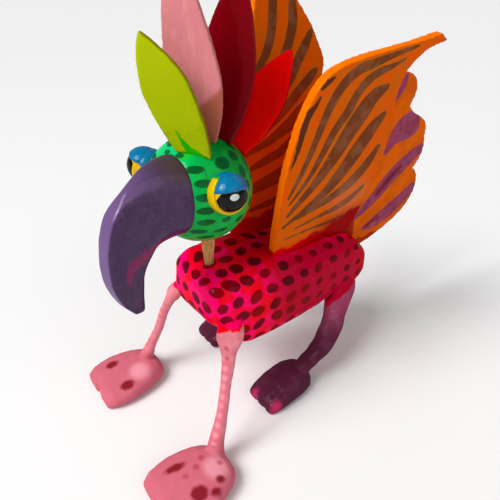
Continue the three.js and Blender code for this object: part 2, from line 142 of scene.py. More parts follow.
def read(items, name, width, kind=float):
    """One property of every vertex or edge."""
    flat = np.empty(len(items) * width, kind)
    items.foreach_get(name, flat)
    return flat.reshape(-1, width)


def points_of(mesh):
    return read(mesh.vertices, "co", 3) / MM


def move_to(mesh, points):
    mesh.vertices.foreach_set("co", (points * MM).ravel())
    mesh.update()


def new_object(name, data):
    made = bpy.data.objects.new(name, data)
    bpy.context.scene.collection.objects.link(made)
    return made


def divided_copy(node, voxel):
    """A finely divided copy of a CAD node's surface, with cells of one voxel."""
    work = new_object("work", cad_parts[node].data.copy())
    grid = work.modifiers.new("grid", "REMESH")
    grid.mode = "VOXEL"
    grid.voxel_size = voxel * MM
    shaped = work.evaluated_get(bpy.context.evaluated_depsgraph_get())
    mesh = bpy.data.meshes.new_from_object(shaped)
    mesh.materials.clear()
    mesh.shade_smooth()
    old = work.data
    bpy.data.objects.remove(work)
    bpy.data.meshes.remove(old)
    return mesh


def sand(mesh, rounds, weight=1.0, hold_size=False):
    """Rounds edges off by moving each point towards the middle of its neighbours.
    hold_size pushes back after each round, so that thin parts keep their thickness."""
    points = points_of(mesh)
    edges = read(mesh.edges, "vertices", 2, np.int32)
    ends = np.concatenate([edges[:, 0], edges[:, 1]])
    others = np.concatenate([edges[:, 1], edges[:, 0]])
    degree = np.bincount(ends, minlength=len(points))[:, None]
    weight = np.broadcast_to(weight, len(points))[:, None]
    for i in range(rounds * (2 if hold_size else 1)):
        total = np.stack([
            np.bincount(ends, points[others, axis], minlength=len(points))
            for axis in range(3)], 1)
        step = -0.52 if hold_size and i % 2 else 0.5
        points = points + (total / degree - points) * step * weight
    move_to(mesh, points)


def bumpy(points, size, seed):
    """Smooth random heights from -1 to 1, whose lumps are about size across."""
    shift = Vector((seed * 17.3, seed * 5.1, -seed * 9.7))
    return np.array([noise.noise(Vector(p) / size + shift) for p in points])


def whittle(mesh, size, depth, seed, weight=1.0):
    """Lets the surface wander in and out a little, as a knife leaves it."""
    points = points_of(mesh)
    heights = bumpy(points, size, seed) + 0.4 * bumpy(points, size / 2.7, seed + 1)
    normals = read(mesh.vertices, "normal", 3)
    move_to(mesh, points + normals * (heights * depth * weight)[:, None])


def ease(low, high, value):
    t = np.clip((value - low) / (high - low), 0, 1)
    return t * t * (3 - 2 * t)


def run_of(points):
    """Distance along a row of points, from its first one."""
    return np.concatenate([[0], np.cumsum(np.linalg.norm(np.diff(points, axis=0), axis=1))])


def curve_through(rows):
    """A smooth centripetal curve through rows of values, as a function of t from 0 to 1."""
    rows = np.asarray(rows, float)
    ghost = np.array([2 * rows[0] - rows[1], *rows, 2 * rows[-1] - rows[-2]])

    def at(t):
        place = min(t * (len(rows) - 1), len(rows) - 1 - 1e-9)
        i = int(place)
        p = ghost[i:i + 4]
        gaps = np.maximum(np.linalg.norm(np.diff(p, axis=0), axis=1), 1e-6) ** 0.5
        knots = np.concatenate([[0], np.cumsum(gaps)])
        u = knots[1] + (place - i) * (knots[2] - knots[1])

        def between(first, second, start, end):
            return first + (second - first) * (u - knots[start]) / (knots[end] - knots[start])

        a = [between(p[k], p[k + 1], k, k + 1) for k in range(3)]
        b = [between(a[k], a[k + 1], k, k + 2) for k in range(2)]
        return between(b[0], b[1], 1, 2)

    return at


def turns_of(sides):
    """The angles of a ring of points."""
    return 2 * math.pi * np.arange(sides) / sides


def grid_faces(rings, sides, first=0):
    """Quads between closed rings of points that follow each other."""
    faces = []
    for r in range(rings - 1):
        for s in range(sides):
            a = first + r * sides + s
            b = first + r * sides + (s + 1) % sides
            faces.append((a, b, b + sides, a + sides))
    return faces


def closed_rings(points, sides):
    """Skins rings of points that follow each other, and closes both ends with a fan."""
    points = list(points)
    rings = len(points) // sides
    faces = grid_faces(rings, sides)
    for start in (0, (rings - 1) * sides):
        middle = len(points)
        points.append(np.mean(points[start:start + sides], axis=0))
        for s in range(sides):
            a, b = start + s, start + (s + 1) % sides
            faces.append((a, b, middle) if start else (b, a, middle))
    return np.array(points), faces


def set_fields(mesh, **fields):
    """Keeps a value for each field on every vertex, for the materials."""
    for name, values in fields.items():
        field = mesh.attributes.new(name, "FLOAT", "POINT")
        field.data.foreach_set("value", np.asarray(values, np.float32))


def add_piece(mesh, node, body, material):
    """Puts a finished mesh into the scene in place of its CAD node."""
    low = np.array(cad_low) / MM + [BOX_MARGIN, BOX_MARGIN, 0]
    high = np.array(cad_high) / MM - BOX_MARGIN
    move_to(mesh, np.clip(points_of(mesh), low, high))
    piece = new_object(f"{node}_carving", mesh)
    mesh.name = piece.name
    mesh.materials.append(material)
    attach(piece, body)
    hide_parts(node)


# ---- painted marks, as distance fields ----

FAR = 4.0  # marks need no greater distance than this


def oval(flat, centre, half, angle=0.0):
    """Distance to an oval mark on a flat (n, 2) map, negative inside."""
    c, s = math.cos(angle), math.sin(angle)
    x, y = (flat - centre).T
    along = (x * c + y * s) / half[0]
    across = (y * c - x * s) / half[1]
    return (np.hypot(along, across) - 1) * min(half)


def stroke(flat, route):
    """Distance to a brush stroke: route is a list of (x, y, half width)."""
    best = np.full(len(flat), 1e3)
    for (x0, y0, w0), (x1, y1, w1) in zip(route, route[1:]):
        start = np.array([x0, y0])
        way = np.array([x1, y1]) - start
        t = np.clip((flat - start) @ way / (way @ way), 0, 1)
        gap = np.linalg.norm(flat - start - t[:, None] * way, axis=1)
        best = np.minimum(best, gap - (w0 + (w1 - w0) * t))
    return best


def smooth_route(route, steps=4):
    at = curve_through(route)
    count = steps * (len(route) - 1)
    return [tuple(at(i / count)) for i in range(count + 1)]


def nearest(*fields):
    return np.minimum.reduce(fields)


# ---- materials ----

def linear(colour):
    """An sRGB colour, 0 to 255, as the linear one that shaders use."""
    shares = [value / 255 for value in colour]
    return [v / 12.92 if v < 0.04045 else ((v + 0.055) / 1.055) ** 2.4 for v in shares] + [1.0]


class Paint:
    """A material built up coat by coat over one base colour. Colours are sRGB, 0 to 255, or
    what blend gave, and a mask goes from 0 to 1."""

    def __init__(self, name, base, gloss, roughness, coat_roughness=0.08):
        self.material = bpy.data.materials.new(name)
        self.material.use_nodes = True
        self.tree = self.material.node_tree
        self.shader = self.tree.nodes["Principled BSDF"]
        for socket, value in (
                ("Roughness", roughness), ("Coat Weight", gloss),
                ("Coat Roughness", coat_roughness), ("Specular IOR Level", 0.0)):
            self.shader.inputs[socket].default_value = value
        self.place = self.tree.nodes.new("ShaderNodeTexCoord").outputs["Object"]
        self.height = None
        self.colour = base

    def node(self, kind, **settings):
        made = self.tree.nodes.new(kind)
        for key, value in settings.items():
            setattr(made, key, value)
        return made

    def feed(self, socket, value):
        if isinstance(value, bpy.types.NodeSocket):
            self.tree.links.new(value, socket)
        else:
            socket.default_value = linear(value) if isinstance(value, tuple) else value

    def maths(self, operation, a, b=0.0, c=0.0):
        made = self.node("ShaderNodeMath", operation=operation)
        for socket, value in zip(made.inputs, (a, b, c)):
            self.feed(socket, value)
        return made.outputs[0]

    def field(self, name):
        return self.node("ShaderNodeAttribute", attribute_name=name).outputs["Fac"]

    def grain(self, size, detail=3.0, stretch=(1, 1, 1), swirl=0.0):
        """Noise from 0 to 1 whose lumps are about size millimetres, drawn out by stretch."""
        mapping = self.node("ShaderNodeMapping")
        self.feed(mapping.inputs["Vector"], self.place)
        mapping.inputs["Scale"].default_value = [1 / (size * MM * s) for s in stretch]
        made = self.node("ShaderNodeTexNoise")
        self.feed(made.inputs["Vector"], mapping.outputs[0])
        made.inputs["Scale"].default_value = 1.0
        made.inputs["Detail"].default_value = detail
        made.inputs["Distortion"].default_value = swirl
        return made.outputs["Fac"]

    def ramp(self, value, low, high):
        """0 below low and 1 above high, smooth between."""
        made = self.node("ShaderNodeMapRange", interpolation_type="SMOOTHSTEP")
        self.feed(made.inputs["Value"], value)
        made.inputs["From Min"].default_value = low
        made.inputs["From Max"].default_value = high
        return made.outputs["Result"]

    def fade(self, field):
        """A soft mask, from a field that goes from 0 to 1."""
        return self.ramp(self.field(field), 0.0, 1.0)

    def patches(self, low, high, *grain, **more_grain):
        """Cloudy patches: 0 where the grain is below low, 1 where it is above high."""
        return self.ramp(self.grain(*grain, **more_grain), low, high)

    def mark(self, field, soft, wobble, size, edge=0.0):
        """1 inside a painted mark, whose edge is soft by that many millimetres and wobbles as
        a brush does, by wobble in lumps of that size."""
        value = self.field(field) if isinstance(field, str) else field
        shaky = self.maths("MULTIPLY_ADD", self.grain(size, 2.0), 2 * wobble, -wobble)
        return self.ramp(self.maths("ADD", value, shaky), edge + soft, edge - soft)

    def blend(self, first, second, amount):
        made = self.node("ShaderNodeMix", data_type="RGBA")
        self.feed(made.inputs["Factor"], amount)
        self.feed(made.inputs[6], first)
        self.feed(made.inputs[7], second)
        return made.outputs[2]

    def lay(self, over, mask, amount=1.0):
        """Paints a colour over what is there, where the mask is and as thickly as amount."""
        thick = self.maths("MULTIPLY", mask, amount) if amount < 1 else mask
        self.colour = self.blend(self.colour, over, thick)

    def raise_by(self, amount, millimetres):
        """Builds the surface up where amount is 1, for the bump."""
        step = self.maths("MULTIPLY", amount, millimetres)
        self.height = step if self.height is None else self.maths("ADD", self.height, step)

    def brush(self, size, depth, stretch):
        """Fine streaks that a brush leaves in thick paint, with a few lumps."""
        self.raise_by(self.grain(size, 3.0, stretch, 0.4), depth)
        self.raise_by(self.grain(size * 6, 2.0), depth * 2.5)

    def done(self, uneven=0.16):
        """Joins everything to the shader, with a gloss that is uneven by that much."""
        inputs = self.shader.inputs
        self.feed(inputs["Base Color"], self.colour)
        bump = self.node("ShaderNodeBump")
        bump.inputs["Distance"].default_value = MM
        self.feed(bump.inputs["Height"], self.height)
        self.feed(inputs["Normal"], bump.outputs[0])
        least = inputs["Roughness"].default_value - uneven / 2
        self.feed(inputs["Roughness"], self.maths("MULTIPLY_ADD", self.grain(5.0, 4.0), uneven, least))
        return self.material


# ---- torso ----

TORSO_HALF = (29.0, 24.5)  # half width and half height of its middle section
TORSO_MIDDLE_Z = 77.5
TORSO_SQUARE = 3.2  # 2 would make the section an oval
# The dots stand in rows: around the body's section, and along it from chest to rump.
DOT_ROWS = 18
DOT_STEPS = [-8, 3.5, 14, 26, 38, 50, 62, 74.5, 87, 99, 111]
END_DOT_PITCH = (10.5, 9.2)  # across and up, for the flat rows on the chest and the rump
END_DOT_REACH = 0.7  # of the way from the section's middle to its rim
CHEST_END, RUMP_START = 8, 96  # how far back those rows begin and end
WING_FEET = (8, 19)  # how far round from the back's middle the wings' feet leave no dots
WING_START = 30  # and how far back that begins
SLOT_SPAN = (42, 92)  # from where to where a wing's slot runs along the back
SLOT_BOTTOM = 86
SLOT_REACH = 4.5  # how far its surroundings go to either side
SOCKET_REACH = 5.5  # and those of the neck's socket
CHEST_CUT = 4.5  # how much the chest's upper right corner is pared
CHEST_DROP = 3.0  # how much lower its lower left corner hangs
CROWN = 2.5  # how far the back swells in front of the right wing


def section_reach(x, up):
    """How far out a point lies in the torso's section, from 0 in the middle to 1 at its rim."""
    wide, tall = np.abs(x / TORSO_HALF[0]), np.abs(up / TORSO_HALF[1])
    return (wide ** TORSO_SQUARE + tall ** TORSO_SQUARE) ** (1 / TORSO_SQUARE)


def torso_map(points):
    """Unrolls the torso: distance around the section, and distance along the body. The
    chest and rump are unrolled outwards from the section's rim."""
    x, y, z = (points - BODY).T
    up = z - TORSO_MIDDLE_Z
    reach = section_reach(x, up)
    angle = np.arctan2(x / TORSO_HALF[0], up / TORSO_HALF[1])
    turns = np.linspace(-math.pi, math.pi, 721)
    c, s = np.cos(turns), np.sin(turns)
    rim_points = np.stack([TORSO_HALF[0] * s, TORSO_HALF[1] * c], 1)
    rim_points /= section_reach(*rim_points.T)[:, None]
    length = run_of(rim_points)
    around = np.interp(angle, turns, length) - length[-1] / 2
    inwards = np.maximum(0, 1 - reach) * TORSO_HALF[1]
    front = ease(8, -4, y)
    back = ease(96, 108, y)
    return np.stack([around, y - inwards * front + inwards * back], 1)


def shape_torso(mesh):
    """Sands and whittles the torso, but for its wing slots and the neck's socket."""
    x, y, z = (points_of(mesh) - BODY).T
    board = wing_map(BODY + np.stack([np.abs(x), y, z], 1), 1)
    slot = (np.abs(board[:, 2]) < SLOT_REACH) & (z > SLOT_BOTTOM)
    slot &= (y > SLOT_SPAN[0]) & (y < SLOT_SPAN[1])
    socket = np.hypot(x, y - NECK_Y) < SOCKET_REACH
    sand(mesh, 34, np.where(slot | socket, 0.06, 1.0), hold_size=True)
    whittle(mesh, 17, 0.45, 3, np.where(slot | socket, 0.0, 1.0))
    points = points_of(mesh)
    x, y, z = (points - BODY).T
    points[:, 0] += CHEST_CUT * ease(-12, -26, x) * ease(20, 0, y) * ease(72, 94, z)
    crown = ease(22, 8, np.hypot(x + 18, y - 28)) * ease(94, 101, z)
    points[:, 2] += CROWN * np.where(socket, 0.0, crown)
    points[:, 2] -= CHEST_DROP * ease(4, 20, x) * ease(22, 2, y) * ease(68, 56, z)
    move_to(mesh, points)
    return points


def torso_dots(points):
    """Rows of uneven ovals that shrink towards the rump."""
    flat = torso_map(points)
    chance = random.Random(11)
    best = np.full(len(points), FAR)
    girth = flat[:, 0].max() - flat[:, 0].min()
    pitch = girth / DOT_ROWS
    for row in range(DOT_ROWS):
        around = 3.0 + (row - DOT_ROWS // 2) * pitch
        for step in DOT_STEPS:
            fade = min(max(step / 60, 0), 1)
            size = (4.1 - 1.2 * fade) * chance.uniform(0.86, 1.1)
            long = chance.uniform(0.98, 1.3)
            tilt = chance.uniform(0.9, 2.2)
            x = around + chance.uniform(-0.9, 0.9)
            y = step + 0.1 * (abs(around) - 24) + chance.uniform(-0.9, 0.9)
            if step > WING_START and WING_FEET[0] < abs(around) < WING_FEET[1]:
                continue
            across = (flat[:, 0] - x + girth / 2) % girth - girth / 2
            place = np.stack([across, flat[:, 1] - y], 1)
            near = np.abs(place).max(1) < 9
            best[near] = np.minimum(
                best[near], oval(place[near], (0, 0), (size * long, size / long), tilt))
    return np.minimum(best, end_dots(points, chance))


def end_dots(points, chance):
    """Level rows of dots on the chest's front and the rump's back."""
    x, y, z = (points - BODY).T
    flat = np.stack([x, z - TORSO_MIDDLE_Z], 1)
    best = np.full(len(points), FAR)
    for at_end in (y < CHEST_END, y > RUMP_START):
        for row in range(-2, 3):
            for column in range(-3, 4):
                across = (column + 0.5 * (row % 2)) * END_DOT_PITCH[0] + chance.uniform(-1, 1)
                up = row * END_DOT_PITCH[1] + chance.uniform(-0.8, 0.8)
                size = chance.uniform(3.1, 3.9)
                tilt = chance.uniform(0, 3)
                if section_reach(across, up) < END_DOT_REACH:
                    dot = oval(flat, (across, up), (size * 1.12, size / 1.12), tilt)
                    best = np.where(at_end, np.minimum(best, dot), best)
    return best


def torso_material():
    paint = Paint("torso_paint", (255, 0, 92), gloss=0.1, roughness=0.42)
    paint.lay((255, 0, 116), paint.fade("chest"), 0.55)
    paint.lay((246, 0, 16), paint.patches(0.44, 0.53, 12, 2.0, swirl=0.6), 0.92)
    paint.lay((255, 10, 105), paint.patches(0.55, 0.75, 3.0, 4.0, (1, 3, 1)), 0.4)
    # Painted shade: the torso's sides darker towards the rump.
    paint.lay((168, 0, 38), paint.fade("flank"), 0.9)
    paint.lay((196, 0, 4), paint.fade("shade"), 0.75)
    paint.lay((226, 60, 98), paint.fade("belly"), 0.7)
    dots = paint.mark("dots", 0.35, 0.45, 2.5)
    dark = paint.blend((128, 0, 4), (74, 2, 14), paint.patches(0.42, 0.6, 16, 1.0))
    paint.lay(dark, dots, 0.93)
    paint.raise_by(dots, 0.06)
    paint.brush(0.8, 0.05, (1, 5, 1))
    return paint.done()


def build_torso():
    mesh = divided_copy("torso", 0.9)
    points = shape_torso(mesh)
    x, y, z = (points - BODY).T
    between = ease(17, 12, np.abs(x)) * ease(18, 45, y) * ease(92, 99, z)
    rump = ease(92, 108, y) * ease(62, 78, z)
    behind_neck = ease(9, 26, y) * ease(93, 99, z) * ease(26, 12, x) * 0.8
    set_fields(
        mesh, dots=torso_dots(points),
        shade=np.maximum.reduce([between, rump, behind_neck]),
        belly=ease(66, 56, z) * ease(0, 30, y),
        chest=ease(22, -4, y),
        # Painted shade on the torso's sides, towards the rump.
        flank=ease(12, 46, y) * ease(14, 24, np.abs(x)))
    add_piece(mesh, "torso", "torso_and_legs", torso_material())


# ---- neck peg ----

def wood_material(name):
    paint = Paint(name, (206, 146, 92), gloss=0.0, roughness=0.68)
    rings = paint.grain(0.9, 4.0, (1, 1, 9), swirl=0.5)
    paint.lay((148, 100, 60), paint.ramp(rings, 0.46, 0.66), 0.8)
    paint.lay((220, 168, 112), paint.patches(0.5, 0.75, 3.5, 2.0), 0.5)
    paint.raise_by(rings, 0.12)
    return paint.done(uneven=0.1)


PEG_TWIST = 0.12  # how far the peg's flats wander round it, as a share of a flat


def build_neck():
    """The bare peg, whittled to uneven flats."""
    low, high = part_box("neck_peg")
    bottom, top = low.z / MM, high.z / MM
    chance = random.Random(5)
    flats = [chance.uniform(0.965, 0.995) for _ in range(9)]
    sides = 72
    points = []
    for z in np.linspace(bottom, top, 60):
        radius = np.interp(z, [bottom, 103, 117, top], [2.5, 2.65, 3.9, 3.98])
        for angle in turns_of(sides):
            reach = 1.0
            for k, flat in enumerate(flats):
                middle = k + PEG_TWIST * math.sin(z / 9 + k)
                facing = math.cos(angle - 2 * math.pi * middle / len(flats))
                if math.cos(angle - 2 * math.pi * k / len(flats)) > 0.3:
                    reach = min(reach, flat / max(0.3, facing))
            across, along = reach * radius * math.cos(angle), reach * radius * math.sin(angle)
            points.append([across, along + NECK_Y, z])
    points, faces = closed_rings(np.array(points) + BODY, sides)
    mesh = make_mesh("neck", points, faces)
    add_piece(mesh, "neck_peg", "neck", wood_material("peg_wood"))


# ---- head ----

def head_dots():
    """Dots on the head as (azimuth from the front, elevation, half width, half height) in
    degrees: flat ovals in a column beside the beak, rounder ones behind the eyes."""
    chance = random.Random(3)
    dots = []
    for side in (1, -1):
        for i in range(7):
            tucked = 9 if i in (0, 5) else 0
            dots.append((side * (50 - tucked), 40 - 13.6 * i, 9.5, 4.1))
        dots += [
            (side * 80, 43, 8.6, 6.6), (side * 106, 45, 6.5, 6.4), (side * 105, 27, 5.4, 7.5),
            (side * 107, 11, 4.5, 6.0), (side * 68, -30, 8.0, 3.9), (side * 72, -15, 5.6, 3.4),
            (side * 93, -22, 6.5, 4.2), (side * 112, -9, 5.5, 5.5), (side * 84, -44, 8.0, 4.2),
            (side * 32, 62, 6.0, 3.6), (side * 15, 54, 5.0, 3.0), (side * 60, 60, 7.0, 4.2)]
        for column in range(3):
            azimuth = 128 + 21 * column
            for step in range(6):
                elevation = 52 - 19 * step - (9 if column % 2 else 0)
                dots.append((
                    side * (azimuth + chance.uniform(-2, 2)), elevation + chance.uniform(-2, 2),
                    chance.uniform(5, 6.6), chance.uniform(5, 6.4)))
        for azimuth in (25, 60, 95, 130, 165):
            dots.append((side * azimuth, -58, 8.5, 4.0))
    dots.append((0, 51, 4.0, 2.6))
    return dots


def head_material():
    paint = Paint("head_paint", (0, 158, 62), gloss=0.22, roughness=0.35)
    # Painted light: the head's front, right side and top painted brighter, where the light falls.
    paint.lay((0, 205, 118), paint.fade("rise"), 0.8)
    paint.lay((0, 122, 36), paint.fade("shaded"), 0.6)
    paint.lay((10, 185, 60), paint.patches(0.5, 0.72, 4.0, 4.0, (1, 1, 2.5)), 0.45)
    paint.lay((118, 128, 30), paint.fade("tan"), 0.8)
    paint.lay((20, 178, 20), paint.mark("smear", 0.8, 1.4, 2.4), 0.8)
    dots = paint.mark("dots", 0.14, 0.22, 1.8)
    deep = paint.blend((0, 74, 28), (0, 92, 52), paint.patches(0.4, 0.6, 9, 1.0))
    paint.lay(deep, dots, 0.95)
    crack = paint.mark(paint.maths("ABSOLUTE", paint.field("crack")), 0.1, 0.18, 2, edge=0.14)
    crack = paint.maths("MULTIPLY", crack, paint.ramp(paint.field("crack_reach"), 1.0, 0.0))
    paint.lay((8, 88, 40), crack, 0.75)
    paint.raise_by(crack, -0.18)
    paint.raise_by(dots, 0.07)
    paint.brush(0.7, 0.045, (1, 1, 4))
    return paint.done()


def ball_mesh(sides, rings):
    level = np.repeat(math.pi * np.arange(1, rings) / rings, sides)
    turn = np.tile(turns_of(sides), rings - 1)
    around = [np.sin(level) * np.cos(turn), np.sin(level) * np.sin(turn), np.cos(level)]
    points = np.concatenate([[[0, 0, 1]], np.stack(around, 1), [[0, 0, -1]]]) * HEAD_RADIUS
    faces = [tuple(reversed(f)) for f in grid_faces(rings - 1, sides, 1)]
    bottom = len(points) - 1
    for s in range(sides):
        t = (s + 1) % sides
        faces.append((0, 1 + s, 1 + t))
        faces.append((bottom, bottom - sides + t, bottom - sides + s))
    return make_mesh("head", from_head(points), faces)


def build_head():
    mesh = ball_mesh(168, 100)
    whittle(mesh, 15, 0.22, 8)
    local = to_head(points_of(mesh))
    x, y, z = local.T
    azimuth = np.degrees(np.arctan2(x, -y))
    elevation = np.degrees(np.arcsin(np.clip(z / np.linalg.norm(local, axis=1), -1, 1)))
    degree = math.radians(1) * HEAD_RADIUS
    best = np.full(len(local), FAR)
    for dot_azimuth, dot_elevation, wide, tall in head_dots():
        across = (azimuth - dot_azimuth + 180) % 360 - 180
        across = across * math.cos(math.radians(dot_elevation))
        flat = np.stack([across, elevation - dot_elevation], 1) * degree
        best = np.minimum(best, oval(flat, (0, 0), (wide * degree, tall * degree)))
    set_fields(
        mesh, dots=best,
        # Painted light on the head's front, right side and top.
        rise=ease(62, -5, azimuth) * ease(-20, 40, elevation),
        shaded=ease(58, 105, azimuth) * ease(-5, 35, elevation))
    back = ease(75, 130, azimuth) * ease(30, -10, elevation)
    set_fields(
        mesh, tan=np.maximum(back, ease(-35, -62, elevation)),
        crack=(azimuth - 54) * degree * np.cos(np.radians(elevation)),
        crack_reach=np.abs(elevation - 36) / 14,
        smear=oval(
            np.stack([azimuth, elevation], 1) * degree, (24 * degree, 60 * degree), (8, 5), 0.4))
    add_piece(mesh, "head", "head", head_material())


# ---- beak ----

# Stations from the face to the hooked tip, as (forward, up) on the outer ridge, (forward,
# up) on the inner edge, and the half widths there.
BEAK_STATIONS = [
    (9, 20, 9, -16, 16, 17.5),
    (19, 21.6, 18, -17.3, 17, 18.6),
    (32, 20.3, 27, -17, 11, 15.5),
    (44.8, 14, 36, -18.3, 5.8, 11),
    (55, 4.2, 41.3, -23.2, 4.8, 9),
    (60.3, -9, 43.6, -29.2, 4.4, 7.5),
    (61, -25, 44.4, -36.6, 4.1, 6.5),
    (56.6, -39.6, 44.6, -44, 3.6, 5),
    (49.8, -49.3, 44.8, -49.5, 2.4, 3),
]
# Half of the beak's section, from the ridge's middle to the inner edge's middle, as (share
# of the way to the ridge, share of the half width): a flat ridge with a crisp corner.
BEAK_SECTION = [
    (1.0, 0.0), (1.0, 0.5), (0.985, 0.84), (0.955, 0.93), (0.88, 0.965), (0.7, 0.99),
    (0.45, 1.0), (0.22, 0.97), (0.08, 0.85), (0.015, 0.55), (0.0, 0.0)]
RIDGE_CORNER = 0.245  # where along that half section the corner lies, from 0 to 1
BEAK_CRISP = (0.26, 0.48)  # where along the beak its round section turns into that one
# The pink stripe near the inner edge: percent of the way along, distance out, half width.
BEAK_STRIPE = [
    (12, 2, 1.8), (24, 2.6, 2.2), (35, 3.4, 2.2), (45, 5.4, 2.2), (54, 8.6, 2.4),
    (62, 11.4, 2.4), (68, 12, 1.6), (73, 11, 0.5)]


def beak_material():
    paint = Paint("beak_paint", (64, 41, 75), gloss=0.42, roughness=0.36, coat_roughness=0.12)
    paint.lay((78, 53, 89), paint.patches(0.42, 0.66, 9, 5.0, swirl=1.2), 0.7)
    swirl = paint.patches(0.54, 0.72, 3.2, 5.0, (1, 1, 2.2), swirl=3.5)
    paint.lay((104, 80, 114), swirl, 0.24)
    # Painted highlight: a lighter band along the ridge's flat top, from a little way along the beak.
    ridge = paint.mark("ridge", 1.5, 1.0, 5, edge=1.0)
    ridge = paint.maths("MULTIPLY", ridge, paint.field("far"))
    paint.lay((112, 84, 132), ridge, 0.85)
    paint.lay((70, 54, 50), paint.fade("brow"), 0.75)
    paint.lay((150, 16, 84), paint.mark("stripe", 1.4, 2.2, 3.0), 0.6)
    # Painted shade: a thin dark line where the beak meets the head.
    paint.lay((40, 26, 52), paint.mark("rim", 0.25, 0.3, 3), 0.4)
    paint.raise_by(paint.grain(3.6, 4.0, (1, 1, 2.2), swirl=2.5), 0.26)
    paint.brush(0.8, 0.06, (1, 1, 5))
    return paint.done(uneven=0.12)


def beak_rings(rings, half_sides):
    """The rings of the beak's skin, and for every point how far along the beak it lies, how
    far round from the ridge (both as shares), and how far out from the inner edge."""
    outer_at = curve_through([(s[4], -s[0], s[1]) for s in BEAK_STATIONS])
    inner_at = curve_through([(s[5], -s[2], s[3]) for s in BEAK_STATIONS])
    section = np.array(BEAK_SECTION)
    step = run_of(section)
    share = np.linspace(0, 1, half_sides + 1)
    towards = np.interp(share, step / step[-1], section[:, 0])
    width = np.interp(share, step / step[-1], section[:, 1])
    loop = [(i, 1) for i in range(half_sides + 1)] + [(i, -1) for i in range(half_sides - 1, 0, -1)]
    points, places = [], []
    for t in np.linspace(0, 1, rings):
        outer, inner = outer_at(t), inner_at(t)
        crisp = float(ease(*BEAK_CRISP, t))
        for i, side in loop:
            turn = math.pi * share[i]
            reach = (1 + math.cos(turn)) / 2 * (1 - crisp) + towards[i] * crisp
            wide = math.sin(turn) * (1 - crisp) + width[i] * crisp
            point = inner + (outer - inner) * reach
            points.append([side * point[0] * wide, point[1], point[2]])
            places.append([t, share[i], reach * np.linalg.norm(outer[1:] - inner[1:])])
    return points, places + [[0, 0, 0], [1, 0, 0]], len(loop)


def build_beak():
    points, places, sides = beak_rings(96, 30)
    along, around, depth = np.array(places).T
    local, faces = closed_rings(points, sides)
    mesh = make_mesh("beak", from_head(local), faces)
    sand(mesh, 3)
    whittle(mesh, 12, 0.32, 21)
    local = to_head(points_of(mesh))
    gap = np.linalg.norm(local, axis=1) - HEAD_RADIUS
    set_fields(
        # The ridge field places the painted highlight along the ridge's flat top.
        mesh, ridge=(around - RIDGE_CORNER) * 40,
        far=ease(0.12, 0.5, along),
        brow=ease(0.32, 0.14, along) * ease(0.42, 0.2, around),
        stripe=stroke(np.stack([along * 100, depth], 1), smooth_route(BEAK_STRIPE)),
        # The rim field places the painted shade line where the beak meets the head.
        rim=np.where(local[:, 1] < 0, gap - 0.9, 3.0))
    add_piece(mesh, "beak", "head", beak_material())


# ---- eyes ----

def eye_material():
    paint = Paint("eye_paint", (218, 176, 0), gloss=0.35, roughness=0.3, coat_roughness=0.05)
    # Painted shade: the collar's lower wall towards the back, a darker brownish yellow.
    paint.lay((140, 100, 10), paint.mark("rim", 0.3, 0.5, 2.5), 0.75)
    paint.lay((20, 150, 50), paint.mark("green", 0.2, 0.3, 2.0))
    pupil = paint.mark("pupil", 0.1, 0.12, 2.2)
    paint.lay((9, 9, 11), pupil)
    lid = paint.mark("lid", 0.1, 0.15, 2.2)
    blue = paint.blend((0, 108, 152), (58, 88, 140), paint.fade("fade"))
    light = paint.maths("MULTIPLY", paint.patches(0.5, 0.7, 2.2, 3.0), 0.5)
    blue = paint.blend(blue, (16, 128, 170), light)
    paint.lay(blue, lid)
    spark = paint.mark("spark", 0.1, 0.1, 1.2)
    paint.lay((190, 202, 192), spark)
    for mask, height in ((lid, 0.22), (pupil, 0.1), (spark, 0.1), (paint.grain(0.9, 3.0), 0.05)):
        paint.raise_by(mask, height)
    return paint.done(uneven=0.08)


def eye_profile(distance):
    """The collar's wall and rounded rim, then the ball, as (radius, height)."""
    profile = [(COLLAR_RADIUS, 22.0), (COLLAR_RADIUS, COLLAR_TOP - 1.0)]
    profile += [
        (COLLAR_RADIUS - 1 + math.cos(a), COLLAR_TOP - 1 + math.sin(a))
        for a in np.linspace(0.35, math.pi / 2, 5)]
    start = math.asin((COLLAR_TOP - 0.35 - distance) / EYE_RADIUS)
    return profile + [
        (EYE_RADIUS * math.cos(a), distance + EYE_RADIUS * math.sin(a))
        for a in np.linspace(start, math.pi / 2, 34)[:-1]]


